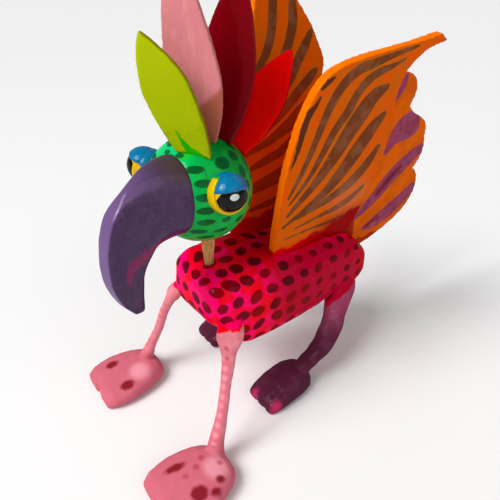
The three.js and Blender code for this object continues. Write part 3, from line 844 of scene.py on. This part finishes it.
def build_eye(side_name, placing, material):
    """A ball set in a raised collar, turned around the way that the eye looks."""
    side = SIDES[side_name]
    distance = placing["distance"]
    sides = 112
    look = np.array(placing["direction"])
    look = look / np.linalg.norm(look)
    up = np.array([0, 0, 1]) - look * look[2]
    up /= np.linalg.norm(up)
    back = np.cross(up, look) * side
    points = []
    for radius, height in eye_profile(distance):
        for turn in turns_of(sides):
            points.append(
                look * height + radius * (back * side * math.cos(turn) + up * math.sin(turn)))
    local, faces = closed_rings(points, sides)
    local[-1] = look * (distance + EYE_RADIUS)
    x, y, out = local @ back, local @ up, local @ look
    flat = np.stack([x, y], 1)
    on_collar = out < COLLAR_TOP + 0.2
    lid = placing["lid"] - 0.34 * np.maximum(x - 2.5, 0) - y
    lid_front = placing["lid_front"] + 0.75 * (y - placing["lid"])
    lid = np.maximum(lid, np.where(on_collar, lid_front - x, -FAR))
    ball = local - look * distance
    from_middle = np.linalg.norm(ball, axis=1)
    swell = EYE_RADIUS + LID_THICKNESS * ease(0.1, -0.9, lid)
    swell = np.where((out > COLLAR_TOP - 1.2) & (lid < 0), swell, 0)
    ball *= (np.maximum(from_middle, swell) / np.maximum(from_middle, 0.1))[:, None]
    mesh = make_mesh("eye", from_head(ball + look * distance), faces)
    set_fields(
        mesh, pupil=np.maximum(oval(flat, *placing["pupil"]), distance + 2.0 - out),
        lid=np.clip(lid, -FAR, FAR),
        fade=ease(-2, 7, x),
        spark=oval(flat, (-2.2, -0.2), (2.1, 1.55)),
        # The rim field places the painted shade on the collar's lower wall, towards the back.
        rim=np.maximum(out - COLLAR_TOP + 2.4, -4 - x),
        green=np.where(on_collar & (x < 0), np.maximum(4.6 - y, lid_front - x - 0.8), 3.0))
    add_piece(mesh, f"eye_{side_name}", "head", material)


# ---- crest feathers ----

def feather_material(name):
    if name == "lime":
        paint = Paint("lime_paint", (160, 176, 0), gloss=0.08, roughness=0.45)
        paint.lay((176, 192, 4), paint.ramp(paint.field("along"), 0.3, 1.0), 0.6)
        scribble = paint.patches(0.56, 0.66, 2.6, 4.0, (1, 1, 2), swirl=2.0)
        low = paint.ramp(paint.field("along"), 0.5, 0.1)
        paint.lay((128, 158, 0), paint.maths("MULTIPLY", scribble, low), 0.6)
        # Painted shade: the board's edges a darker olive.
        paint.lay((132, 118, 8), paint.mark("edge", 0.3, 0.4, 4), 0.9)
        paint.lay((30, 168, 12), paint.mark("smear", 0.35, 0.7, 2.2))
    elif name == "pink":
        paint = Paint("pink_paint", (214, 128, 134), gloss=0.08, roughness=0.46)
        paint.lay((226, 148, 150), paint.patches(0.5, 0.72, 2.4, 4.0, (1, 1, 6)), 0.5)
        # Painted shadow: the lime feather's shadow across the pink feather's lower part.
        paint.lay((166, 86, 56), paint.mark("low_edge", 1.8, 1.2, 5), 0.85)
        # Painted shade: the board's edges darker.
        paint.lay((178, 100, 92), paint.mark("edge", 0.3, 0.4, 4), 0.7)
    elif name == "crimson":
        paint = Paint(
            "crimson_paint", (116, 0, 12), gloss=0.2, roughness=0.34, coat_roughness=0.06)
        paint.lay((98, 0, 6), paint.mark("heart", 3.5, 2.5, 8), 0.8)
        paint.lay((100, 10, 12), paint.patches(0.55, 0.75, 1.8, 5.0, (1, 1, 6)), 0.6)
        # Painted highlight: the board's edges lighter.
        paint.lay((146, 8, 24), paint.mark("edge", 0.3, 0.4, 4), 0.6)
    else:
        paint = Paint("scarlet_paint", (226, 0, 0), gloss=0.08, roughness=0.45)
        paint.lay((200, 0, 0), paint.patches(0.5, 0.75, 3.0, 3.0, (1, 1, 4)), 0.6)
        # Painted shade: the board's edges darker.
        paint.lay((150, 0, 0), paint.mark("edge", 0.3, 0.4, 4), 0.7)
    paint.raise_by(paint.grain(2.5, 3.0, (1, 1, 3), swirl=1.0), 0.16)
    paint.brush(0.7, 0.06, (1, 1, 6))
    return paint.done()


def build_feather(name, root, tip):
    node = f"crest_feather_{name}"
    mesh = divided_copy(node, 0.6)
    sand(mesh, 7)
    whittle(mesh, 14, 0.22, 30 + len(name))
    root, tip = np.array(root, float), np.array(tip, float)
    length = np.linalg.norm(tip - root)
    along = (tip - root) / length
    facing = np.array([math.sin(FEATHER_FACING), -math.cos(FEATHER_FACING), 0])
    across = np.cross(along, facing)
    across /= np.linalg.norm(across)
    face = np.cross(across, along)
    local = to_head(points_of(mesh)) - root
    u, v, w = local @ across, local @ along, local @ face
    flat = np.stack([u, v], 1)
    set_fields(
        mesh, along=v / length,
        # The edge field places paint on the board's edge faces: painted shade, and a painted highlight
        # on the crimson feather.
        edge=0.45 - (1.5 - np.abs(w)),
        heart=oval(flat, (0, length * 0.3), (7, length * 0.38)),
        # Where the lime feather's painted shadow falls on the pink one.
        low_edge=v - 15 - 0.67 * u,
        smear=stroke(flat, [
            (1.5, -1.5, 2.2), (-1.5, 2.5, 2.0), (-2.7, 7, 1.2), (-3.1, 11, 0.5), (-3.5, 13.5, 0.2)]))
    add_piece(mesh, node, "head", feather_material(name))


# ---- wings ----

# Brown stripes on a forewing, in its board's plane: distance back from the head, distance up
# the board, and half width. They fan out from low on the leading edge.
LEFT_STRIPES = [
    [(54.7, 101.6, 0.8), (51, 99.2, 1.3), (48, 97, 0.8)],
    [(48, 92.9, 0.8), (46, 89.6, 1.4), (43, 86.2, 2.3), (41.6, 83, 2.4), (40.8, 76, 1.9),
     (39.6, 66.5, 1.2), (37.2, 58.2, 0.5)],
    [(113, 110.5, 0.7), (95, 107.8, 1.5), (82, 105.3, 2.3), (70, 103, 3.0), (62, 97, 3.2),
     (56, 87, 3.0), (51.5, 72, 2.5), (46, 55, 2.0), (39.5, 40, 0.9)],
    [(105, 105, 0.6), (95, 102, 1.6), (84, 99.5, 2.6), (76, 94, 3.0), (70, 83, 3.1),
     (63, 73, 2.9), (57, 59, 2.4), (50, 47, 1.6), (41, 36, 0.8)],
    [(96, 91.5, 2.0), (88, 88, 4.8), (81, 80, 6.2), (74, 69, 6.0), (65, 54, 4.6),
     (55, 42, 3.0), (41, 28.5, 1.2)],
    [(100, 76, 2.2), (94, 70, 4.8), (86, 59, 5.8), (77, 46.5, 5.0), (66, 35.5, 3.5),
     (53, 28.5, 2.0), (39, 21.5, 1.0)],
    [(103.5, 56, 2.0), (98, 47, 4.0), (88, 38, 4.0), (76, 32, 3.0), (62, 27.5, 1.8),
     (49, 24.5, 0.9)],
    [(100, 30.5, 1.6), (92, 25.5, 2.6), (80, 21.8, 2.2), (66, 20, 1.3), (48, 17.5, 0.6)],
    [(88, 13, 1.4), (74, 12.5, 1.2), (58, 12.8, 0.7), (42, 12, 0.5)],
]
RIGHT_STRIPES = [
    [(75, 139, 1.6), (73, 127, 3.0), (71, 114.6, 3.0), (66, 103, 2.8), (59.6, 95, 2.4),
     (50, 86, 1.7), (41, 78, 0.8)],
    [(87.5, 133, 1.2), (87.3, 126, 3.0), (86.4, 116, 3.4), (83, 107, 3.3), (78, 99, 3.0),
     (68, 87, 2.5), (55, 76, 1.8), (41, 68, 0.8)],
    [(101, 112, 1.2), (98.7, 109, 2.6), (93.5, 101.7, 3.3), (88.5, 96, 3.2), (84, 89.3, 3.2),
     (76, 81, 2.8), (62, 70.5, 2.2), (50, 64, 1.5), (41, 60.5, 0.7)],
    [(103.5, 90, 1.4), (100.7, 88.2, 2.6), (92, 82, 3.2), (83.4, 75.6, 3.2), (74.9, 69.4, 2.8),
     (64, 63, 2.3), (52, 58, 1.6), (41, 54.5, 0.7)],
    [(104, 76, 1.4), (97, 72, 3.2), (88.5, 67.3, 4.0), (78.7, 61.2, 4.0), (70.4, 57.6, 3.3),
     (62.3, 54.2, 2.6), (53.4, 51.6, 1.9), (42, 48.5, 0.8)],
    [(104, 60, 1.4), (94, 56, 2.8), (84, 52.6, 3.0), (77.8, 50, 3.0), (69.3, 46, 2.9),
     (61.3, 44, 2.8), (53.4, 42, 2.3), (42, 39.5, 0.9)],
    [(104, 43, 1.6), (92, 38.5, 3.6), (80, 35, 4.4), (68, 32.2, 4.4), (60, 30.5, 4.2),
     (47.6, 28.4, 3.0), (40, 27, 1.2)],
    [(102, 24, 1.4), (88, 20.5, 2.4), (74, 18.4, 2.5), (67.5, 17.8, 2.4), (58, 16.7, 2.2),
     (43.5, 15.8, 1.2)],
]
# Purple patches on a hindwing, in the same plane.
HIND_PATCHES = [
    [(117.5, 92, 3.2), (116.5, 87, 4.2), (113.5, 79, 1.8)],
    [(142, 58, 6.0), (137, 60, 9.0), (131, 60, 9.5), (125.5, 54, 5.4), (121.5, 46, 2.0)],
    [(158, 40, 4.6), (148, 34.5, 6.2), (137, 27, 6.8), (125, 14, 5.8), (117, 6.5, 4.4),
     (110.5, 1, 2.0)],
    [(165, 8, 5.0), (153, -1, 7.2), (140, -7.5, 7.0), (131, -10.5, 5.2), (123, -12, 2.4)],
]
# Painted shadows that the forewing casts across the middle of the hindwing's purple patches.
HIND_SHADOWS = [[(142, 31, 1.6), (135, 25, 3.0), (126, 15, 2.0)], [(136, -8, 1.4), (127, -11, 2.2)]]
# How high the red paint climbs up the left wing's foot: distance back, and height.
CLIMB = [(40, 6), (52, 5), (62, 9), (72, 8), (83, 11), (90, 14), (100, 17), (106, 15), (114, -20)]
RIGHT_CLIMB = 5.5  # how much higher it climbs in front on the right wing
HEEL_REACH = 6.0  # how much further forward the right wing's lower front corner comes
WING_BOARDS = {"forewing": (5.0, 0.0), "hindwing": (3.6, -4.6)}  # thickness, and middle's place


def wing_base_fields(mesh, board, inner_face):
    """Where red body paint climbs onto the board's foot, the painted shade above it, painted shade low
    on the right wing's inner face, and a painted reflection.
    """
    u, v, w = board.T
    climb = np.interp(u, *np.array(CLIMB, float).T) + 0.9 * np.sin(u / 2.1 + 1)
    climb += RIGHT_CLIMB * ease(92, 70, u) if inner_face else 0
    set_fields(
        mesh, climb=np.clip(v - climb, -FAR, FAR),
        # Painted shade above the red foot, towards the rear.
        low=ease(26, 5, v) * ease(50, 88, u) * ease(116, 104, u),
        rear=ease(44, 78, u),
        # Painted shade on the right wing's inner face, lower down.
        dusk=ease(98, 52, v) * (1 if inner_face else 0) * ease(1, -1, w),
        # Where the painted reflection lies, low on the middle of the board.
        sheen=ease(24, 6, np.hypot(u - 90, 1.2 * (v - 26))))


def forewing_material():
    paint = Paint("forewing_paint", (220, 88, 0), gloss=0.06, roughness=0.42)
    paint.lay((206, 92, 0), paint.patches(0.42, 0.62, 11, 3.0, swirl=0.8), 0.8)
    paint.lay((232, 78, 0), paint.patches(0.52, 0.7, 3.2, 4.0, (1, 1.6, 3)), 0.5)
    stripes = paint.mark("stripes", 0.22, 0.35, 2.4)
    paint.lay((176, 104, 10), paint.mark("stripes", 0.5, 0.3, 2.4, edge=0.55), 0.7)
    brown = paint.blend((112, 56, 28), (128, 74, 48), paint.patches(0.42, 0.62, 8, 3.0))
    paint.lay(brown, stripes, 0.96)
    # On a forewing this field holds ragged dark paint marks along the leading edge; on a hindwing,
    # painted shadows.
    torn = paint.mark("torn", 0.2, 1.1, 2.2)
    paint.lay((92, 46, 26), torn)
    # Brighter orange along the board's edges: the edge's own orange paint, lightened as a painted
    # highlight.
    paint.lay((250, 112, 0), paint.mark("edge", 0.25, 0.35, 4))
    # Painted reflection: a pale sheen low on the middle of the board.
    paint.lay((214, 150, 120), paint.fade("sheen"), 0.14)
    # Painted shade: the right wing's inner face, lower down, redder and with darker stripes, as it
    # lies in shade.
    dusk = paint.blend((255, 74, 0), (186, 46, 6), stripes)
    paint.lay(dusk, paint.fade("dusk"), 0.9)
    # Painted shade: dark red low on the board's rear half, above the red foot.
    paint.lay((132, 8, 0), paint.fade("low"), 0.85)
    climb = paint.mark("climb", 1.2, 1.2, 3.2)
    paint.lay(paint.blend((214, 0, 12), (150, 0, 0), paint.field("rear")), climb)
    paint.raise_by(torn, 0.18)
    paint.raise_by(climb, 0.2)
    paint.raise_by(stripes, 0.06)
    paint.raise_by(paint.grain(6, 3.0, swirl=1.0), 0.3)
    paint.brush(0.8, 0.06, (1, 1.5, 4))
    return paint.done()


def hindwing_material():
    paint = Paint("hindwing_paint", (220, 96, 0), gloss=0.05, roughness=0.44)
    paint.lay((202, 84, 0), paint.patches(0.42, 0.62, 12, 3.0), 0.8)
    patches = paint.mark("stripes", 0.8, 0.7, 3.5)
    plum = paint.blend((146, 66, 98), (128, 52, 82), paint.patches(0.4, 0.65, 5, 3.0))
    paint.lay(plum, patches, 0.94)
    # Painted shadow: the forewing's shadow, dark across the middle of the purple patches.
    paint.lay((112, 18, 40), paint.mark("torn", 1.6, 0.8, 4), 0.8)
    # Brighter orange along the board's edges: the edge's own orange paint, lightened as a painted
    # highlight.
    paint.lay((232, 112, 0), paint.mark("edge", 0.25, 0.35, 4), 0.8)
    paint.lay((150, 6, 0), paint.mark("climb", 0.8, 1.2, 3.2), 0.8)
    paint.raise_by(patches, 0.06)
    paint.raise_by(paint.grain(6, 3.0, swirl=1.0), 0.25)
    paint.brush(0.8, 0.06, (1, 1.5, 4))
    return paint.done()


def build_wing(kind, side_name, strokes, accents, material):
    side = SIDES[side_name]
    thickness, middle = WING_BOARDS[kind]
    node = f"{kind}_{side_name}"
    mesh = divided_copy(node, 0.8)
    board = wing_map(points_of(mesh), side)
    foot = ease(1.5, 5, board[:, 1]) if kind == "forewing" else 1.0
    sand(mesh, 9, np.maximum(foot, 0.1), hold_size=True)
    whittle(mesh, 16, 0.3, 40 + len(node), foot)
    board = wing_map(points_of(mesh), side)
    if node == "forewing_right":
        points = points_of(mesh)
        u, v = board[:, 0], board[:, 1]
        points[:, 1] -= HEEL_REACH * ease(75, 45, u) * ease(0, 5, v) * ease(60, 25, v)
        move_to(mesh, points)
        board = wing_map(points, side)
    flat = board[:, :2]
    strokes = [smooth_route(route, 3) for route in strokes]
    set_fields(
        mesh, stripes=np.minimum(FAR, nearest(*[stroke(flat, route) for route in strokes])),
        # Ragged paint marks on a forewing, painted shadows on a hindwing.
        torn=np.minimum(FAR, nearest(*[stroke(flat, route) for route in accents])),
        # The edge field places the edge's orange paint and its painted highlight on the board's edge
        # faces.
        edge=0.4 - (thickness / 2 - np.abs(board[:, 2] - middle)))
    wing_base_fields(mesh, board, side_name == "right")
    add_piece(mesh, node, f"wing_{side_name}", material)


# ---- legs ----

# Spots on the left front paw and the right one, from below the head: across, along, half
# width and half length.
FRONT_SPOTS = {
    "left": [
        (42, -50, 2.5, 5.4), (62, -47, 3.9, 4.6), (62, -34, 2.0, 2.2), (66, -39.5, 1.8, 3.2)],
    "right": [(-50.9, -46.4, 3.2, 4.2), (-28.8, -45.6, 3.2, 4.4)],
}
SPOT_TURN = -0.22  # how far they are turned, in radians
# Small faint spots: on the paws, and two high on the left shaft.
FAINT_SPOTS = [(46, -36, 1.8), (49, -41, 1.7), (50, -48, 1.6), (33, -42, 1.6), (54, -29, 1.6)]
SHAFT_SPOTS = [((34, -9.4, 62), 1.8), ((33, -8.5, 68), 1.5)]
BEAD_PITCH = 4.9  # between the pale beads painted down a front leg
BEAD_TURN = 0.5  # how far round from the front of the shaft they sit, in radians


def front_leg_material():
    paint = Paint("front_leg_paint", (216, 122, 134), gloss=0.05, roughness=0.52)
    paint.lay((230, 142, 152), paint.patches(0.42, 0.65, 7, 3.0), 0.7)
    paint.lay((198, 94, 114), paint.fade("low"), 0.8)
    # Painted highlight: a pale patch on each paw.
    paint.lay((238, 160, 174), paint.fade("pale"), 0.75)
    paint.lay((204, 92, 108), paint.fade("band"), 0.6)
    paint.lay((242, 160, 172), paint.mark("beads", 0.7, 0.45, 2), 0.55)
    paint.lay((176, 52, 74), paint.mark("faint", 0.8, 0.5, 2), 0.6)
    spots = paint.mark("spots", 1.1, 0.9, 2.6)
    paint.lay((124, 0, 12), spots, 0.9)
    red = paint.blend((252, 0, 96), (244, 0, 18), paint.patches(0.46, 0.56, 13, 2.0, swirl=0.6))
    paint.lay(red, paint.mark("joint", 0.4, 0.8, 3))
    paint.raise_by(spots, 0.05)
    paint.brush(0.8, 0.05, (1, 1, 4))
    return paint.done()


def rear_leg_material():
    paint = Paint("rear_leg_paint", (164, 80, 110), gloss=0.08, roughness=0.46)
    paint.lay((138, 62, 90), paint.patches(0.42, 0.62, 6, 3.0), 0.8)
    paint.lay((156, 44, 90), paint.patches(0.48, 0.62, 10, 1.0), 0.55)
    paint.lay((70, 26, 46), paint.fade("fall"), 0.92)
    paint.lay((112, 56, 80), paint.patches(0.5, 0.68, 9, 1.0), 0.28)
    paint.lay((196, 48, 98), paint.mark("toes", 2.2, 1.2, 4), 0.8)
    # Red body paint over the leg's top, in the darker tone of the torso's painted flank shade.
    paint.lay((176, 0, 38), paint.mark("joint", 0.7, 1.2, 4))
    paint.brush(0.8, 0.05, (1, 1, 4))
    return paint.done()


PAW_PULL = 1.3  # how much shorter the front toes are than first sawn
ANKLE_RISE = 3.0
# Places inside the torso that the tops of the left legs are pressed towards, and how far.
SHOULDER_HEART = (12, 8, 80)
SHOULDER_PRESS = 6
HIP_HEART = (13, 82, 78)
HIP_PRESS = 3.5
# Painted highlights on the paws, and the middle of a front leg's shaft at five heights.
PALE_PATCHES = {"left": (55, -32), "right": (-34, -34)}
SHAFT_HEIGHTS = [14, 28, 45, 59, 68]
SHAFT_ACROSS = [44, 41, 36.3, 32, 28]
SHAFT_ALONG = [-25, -19, -12, -6.5, -3]
# How each leg is pared down or built up: height, and width against the sawn one.
SHAFT_WIDTHS = {
    "front_left": [(52, 1), (60, 0.86), (64, 0.82), (68, 0.95), (71, 1)],
    "front_right": [(40, 1), (56, 0.86), (64, 0.74), (72, 0.74), (80, 0.9)],
    "rear_left": [(11, 1), (16, 1.3), (22, 1.6), (30, 1.35), (44, 1)],
    "rear_right": [(12, 1), (17, 1.25), (23, 1.38), (30, 1.22), (44, 1)],
}
SHAFT_SHIFT = 2.0  # how far the right front leg's middle bows outwards


def press(points, heart, depth, low, high):
    """Sinks the top of a leg into the torso: by depth above high, not at all below low."""
    way = heart + BODY - points
    way /= np.linalg.norm(way, axis=1)[:, None]
    points += way * (depth * ease(low, high, points[:, 2]))[:, None]


def pare(points, widths):
    """Widens or narrows a leg about its own middle, level by level."""
    z = points[:, 2]
    level = np.clip((z / 2).astype(int), 0, 60)
    count = np.maximum(np.bincount(level, minlength=61), 1)
    heights = np.arange(61) * 2 + 1
    factor = np.interp(z, *np.array(widths, float).T)
    for axis in (0, 1):
        middle = np.bincount(level, points[:, axis], minlength=61) / count
        held = np.interp(z, heights[count > 1], middle[count > 1])
        points[:, axis] = held + (points[:, axis] - held) * factor


def shape_leg(mesh, node, pair, side_name):
    """Sands, whittles and pares a leg, and sinks its top into the torso."""
    side = SIDES[side_name]
    height = points_of(mesh)[:, 2]
    sand(mesh, 26, ease(82, 66, height) if pair == "front" else 1.0, hold_size=True)
    whittle(mesh, 11, 0.3, 60 + len(node) + side, ease(0.5, 3, points_of(mesh)[:, 2]))
    points = points_of(mesh)
    points[:, 2] = np.maximum(points[:, 2], 0)
    pare(points, SHAFT_WIDTHS[f"{pair}_{side_name}"])
    z = points[:, 2]
    if pair == "rear":
        z += ANKLE_RISE * ease(4, 16, z) * ease(46, 28, z)
        press(points, np.array(HIP_HEART) * [side, 1, 1], HIP_PRESS, 57, 68)
    else:
        toes = ease(8, -16, points[:, 1] - (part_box(node)[0].y / MM + 18))
        points[:, 1] += PAW_PULL * ease(30, 16, z) * toes
        if side_name == "right":
            bow = ease(34, 54, z) * ease(84, 68, z)
            points -= CAMERA_RIGHT * (SHAFT_SHIFT * bow)[:, None]
        press(points, np.array(SHOULDER_HEART) * [side, 1, 1], SHOULDER_PRESS, 69, 77)
    move_to(mesh, points)
    return points - BODY


def front_leg_fields(mesh, points, side_name):
    side = SIDES[side_name]
    x, y, z = points.T
    flat = points[:, :2]
    spots = nearest(*[
        oval(flat, (a, b), (w, h), SPOT_TURN) for a, b, w, h in FRONT_SPOTS[side_name]])
    faint = nearest(*[oval(flat, (a, b), (r, r)) for a, b, r in FAINT_SPOTS])
    faint = np.where(z < 17, np.minimum(faint, FAR), FAR)
    for place, radius in SHAFT_SPOTS:
        faint = np.minimum(faint, np.linalg.norm(points - place, axis=1) - radius)
    # How far a point lies round from the front of the shaft, and from the middle of a bead.
    middle_x = np.interp(z, SHAFT_HEIGHTS, SHAFT_ACROSS) * side
    middle_y = np.interp(z, SHAFT_HEIGHTS, SHAFT_ALONG)
    turn = np.arctan2((x - middle_x) * side, middle_y - y) - BEAD_TURN
    level = ((z / BEAD_PITCH) % 1 - 0.5) * BEAD_PITCH
    on_shaft = (z > 17) & (z < 60)
    pale = np.hypot(*(flat - PALE_PATCHES[side_name]).T)
    joint = np.interp(np.abs(x), [22, 23.2, 29.3, 32.7, 34, 37], [72, 72.6, 74.9, 74.2, 72.6, 71])
    set_fields(
        mesh, spots=np.where(z < 16, np.minimum(spots, FAR), FAR), faint=faint,
        beads=np.where(on_shaft, np.hypot(level / 1.5, turn * 2) - 1, 3),
        band=ease(1.3, 0.3, np.abs(turn)) * on_shaft,
        # The pale field places the painted highlight on each paw.
        low=ease(27, 12, z), pale=ease(11, 2, pale) * (z > 5) * (z < 26),
        joint=joint - z + 0.6 * np.sin(x / 2.1))


def rear_leg_fields(mesh, points, side_name):
    x, y, z = points.T
    joint = np.interp(y, [70, 74, 78, 85, 93, 100], [44, 48, 56, 60, 62.5, 64])
    toe_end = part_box(f"leg_rear_{side_name}")[0].y / MM - BODY[1]
    flat = np.stack([x * SIDES[side_name], y - toe_end], 1)
    toes = np.minimum(nearest(oval(flat, (40, 3), (2.6, 3.4)), oval(flat, (22, -1), (2.4, 2.8))), 6)
    if side_name == "right":
        toes[:] = 6
    set_fields(mesh, joint=joint - z, fall=ease(60, 26, z), toes=toes)


def build_leg(pair, side_name, material):
    node = f"leg_{pair}_{side_name}"
    mesh = divided_copy(node, 0.7)
    points = shape_leg(mesh, node, pair, side_name)
    if pair == "front":
        front_leg_fields(mesh, points, side_name)
    else:
        rear_leg_fields(mesh, points, side_name)
    add_piece(mesh, node, "torso_and_legs", material)


# ---- floor, light and camera ----

WORLD_LIGHT = 0.32
BACKDROP = 0.86  # how bright the studio's far wall looks


def build_stage():
    size = 40.0
    mesh = bpy.data.meshes.new("floor")
    mesh.from_pydata(
        [(-size, -size, 0), (size, -size, 0), (size, size, 0), (-size, size, 0)], [],
        [(0, 1, 2, 3)])
    floor = new_object("floor", mesh)
    material = bpy.data.materials.new("floor_paper")
    material.use_nodes = True
    shader = material.node_tree.nodes["Principled BSDF"]
    shader.inputs["Base Color"].default_value = (0.86, 0.86, 0.86, 1)
    shader.inputs["Roughness"].default_value = 0.9
    mesh.materials.append(material)
    world = bpy.data.worlds.new("studio")
    world.use_nodes = True
    nodes, links = world.node_tree.nodes, world.node_tree.links
    nodes["Background"].inputs["Color"].default_value = (1, 1, 1, 1)
    backdrop = nodes.new("ShaderNodeMath")
    backdrop.operation = "MULTIPLY_ADD"
    backdrop.inputs[1].default_value = BACKDROP - WORLD_LIGHT
    backdrop.inputs[2].default_value = WORLD_LIGHT
    links.new(nodes.new("ShaderNodeLightPath").outputs["Is Camera Ray"], backdrop.inputs[0])
    links.new(backdrop.outputs[0], nodes["Background"].inputs["Strength"])
    bpy.context.scene.world = world


CAMERA_AZIMUTH = math.radians(53)
CAMERA_ELEVATION = math.radians(31.3)
CAMERA_FROM_HEAD = np.array([189.3, -110.5, 95.3])
FOCAL_PIXELS = 468  # for a frame 500 wide
CAMERA_RIGHT = np.array([math.cos(CAMERA_AZIMUTH), math.sin(CAMERA_AZIMUTH), 0])
CAMERA_BACK = np.array([
    math.sin(CAMERA_AZIMUTH) * math.cos(CAMERA_ELEVATION),
    -math.cos(CAMERA_AZIMUTH) * math.cos(CAMERA_ELEVATION),
    math.sin(CAMERA_ELEVATION)])


def aim(item, direction):
    """Turns an object so that its -Z axis points along a direction."""
    item.rotation_euler = Vector(direction).to_track_quat("-Z", "Y").to_euler()


def build_camera():
    data = bpy.data.cameras.new("camera")
    data.sensor_width = 36
    data.lens = FOCAL_PIXELS / 500 * data.sensor_width
    data.clip_start = 0.01
    camera = new_object("camera", data)
    camera.location = (HEAD + CAMERA_FROM_HEAD) * MM
    aim(camera, -CAMERA_BACK)
    bpy.context.scene.camera = camera


def add_lamp(name, direction, distance, size, power):
    """A soft square light that looks at the figure's middle."""
    data = bpy.data.lights.new(name, "AREA")
    data.shape = "SQUARE"
    data.size = size
    data.energy = power
    lamp = new_object(name, data)
    target = Vector(HEAD * [1, 1, 0.8] * MM)
    way = Vector(direction).normalized()
    lamp.location = target + way * distance
    aim(lamp, -way)


def add_sun(name, direction, spread, strength):
    """A broad, even light from far away."""
    data = bpy.data.lights.new(name, "SUN")
    data.energy = strength
    data.angle = math.radians(spread)
    aim(new_object(name, data), -np.asarray(direction))


def build_lights():
    up = np.array([0, 0, 1])
    forward = CAMERA_BACK * [1, 1, 0]
    add_sun("key", -0.75 * CAMERA_RIGHT + 1.0 * up + 0.55 * forward, 35, 2.6)
    add_sun("fill", 0.7 * CAMERA_RIGHT + 0.6 * up + 0.8 * forward, 60, 0.6)
    add_lamp("glint", -0.8 * CAMERA_RIGHT + 1.0 * up + 0.5 * forward, 0.8, 0.1, 1.0)


# ---- everything ----

build_camera()
build_stage()
build_lights()
build_torso()
build_neck()
build_head()
build_beak()
eyes = eye_material()
for name, placing in EYES.items():
    build_eye(name, placing, eyes)
for name, (root, tip) in FEATHERS.items():
    build_feather(name, root, tip)
fore_paint = forewing_material()
hind_paint = hindwing_material()
for name, stripes in (("left", LEFT_STRIPES), ("right", RIGHT_STRIPES)):
    build_wing("forewing", name, stripes, LEFT_STRIPES[:2], fore_paint)
    build_wing("hindwing", name, HIND_PATCHES, HIND_SHADOWS, hind_paint)
front_paint = front_leg_material()
rear_paint = rear_leg_material()
for name in ("left", "right"):
    build_leg("front", name, front_paint)
    build_leg("rear", name, rear_paint)
dowel_wood = wood_material("dowel_wood")
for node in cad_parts:
    if "dowel" in node:
        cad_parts[node].data.materials.clear()
        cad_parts[node].data.materials.append(dowel_wood)

bpy.context.scene.view_settings.view_transform = "Standard"
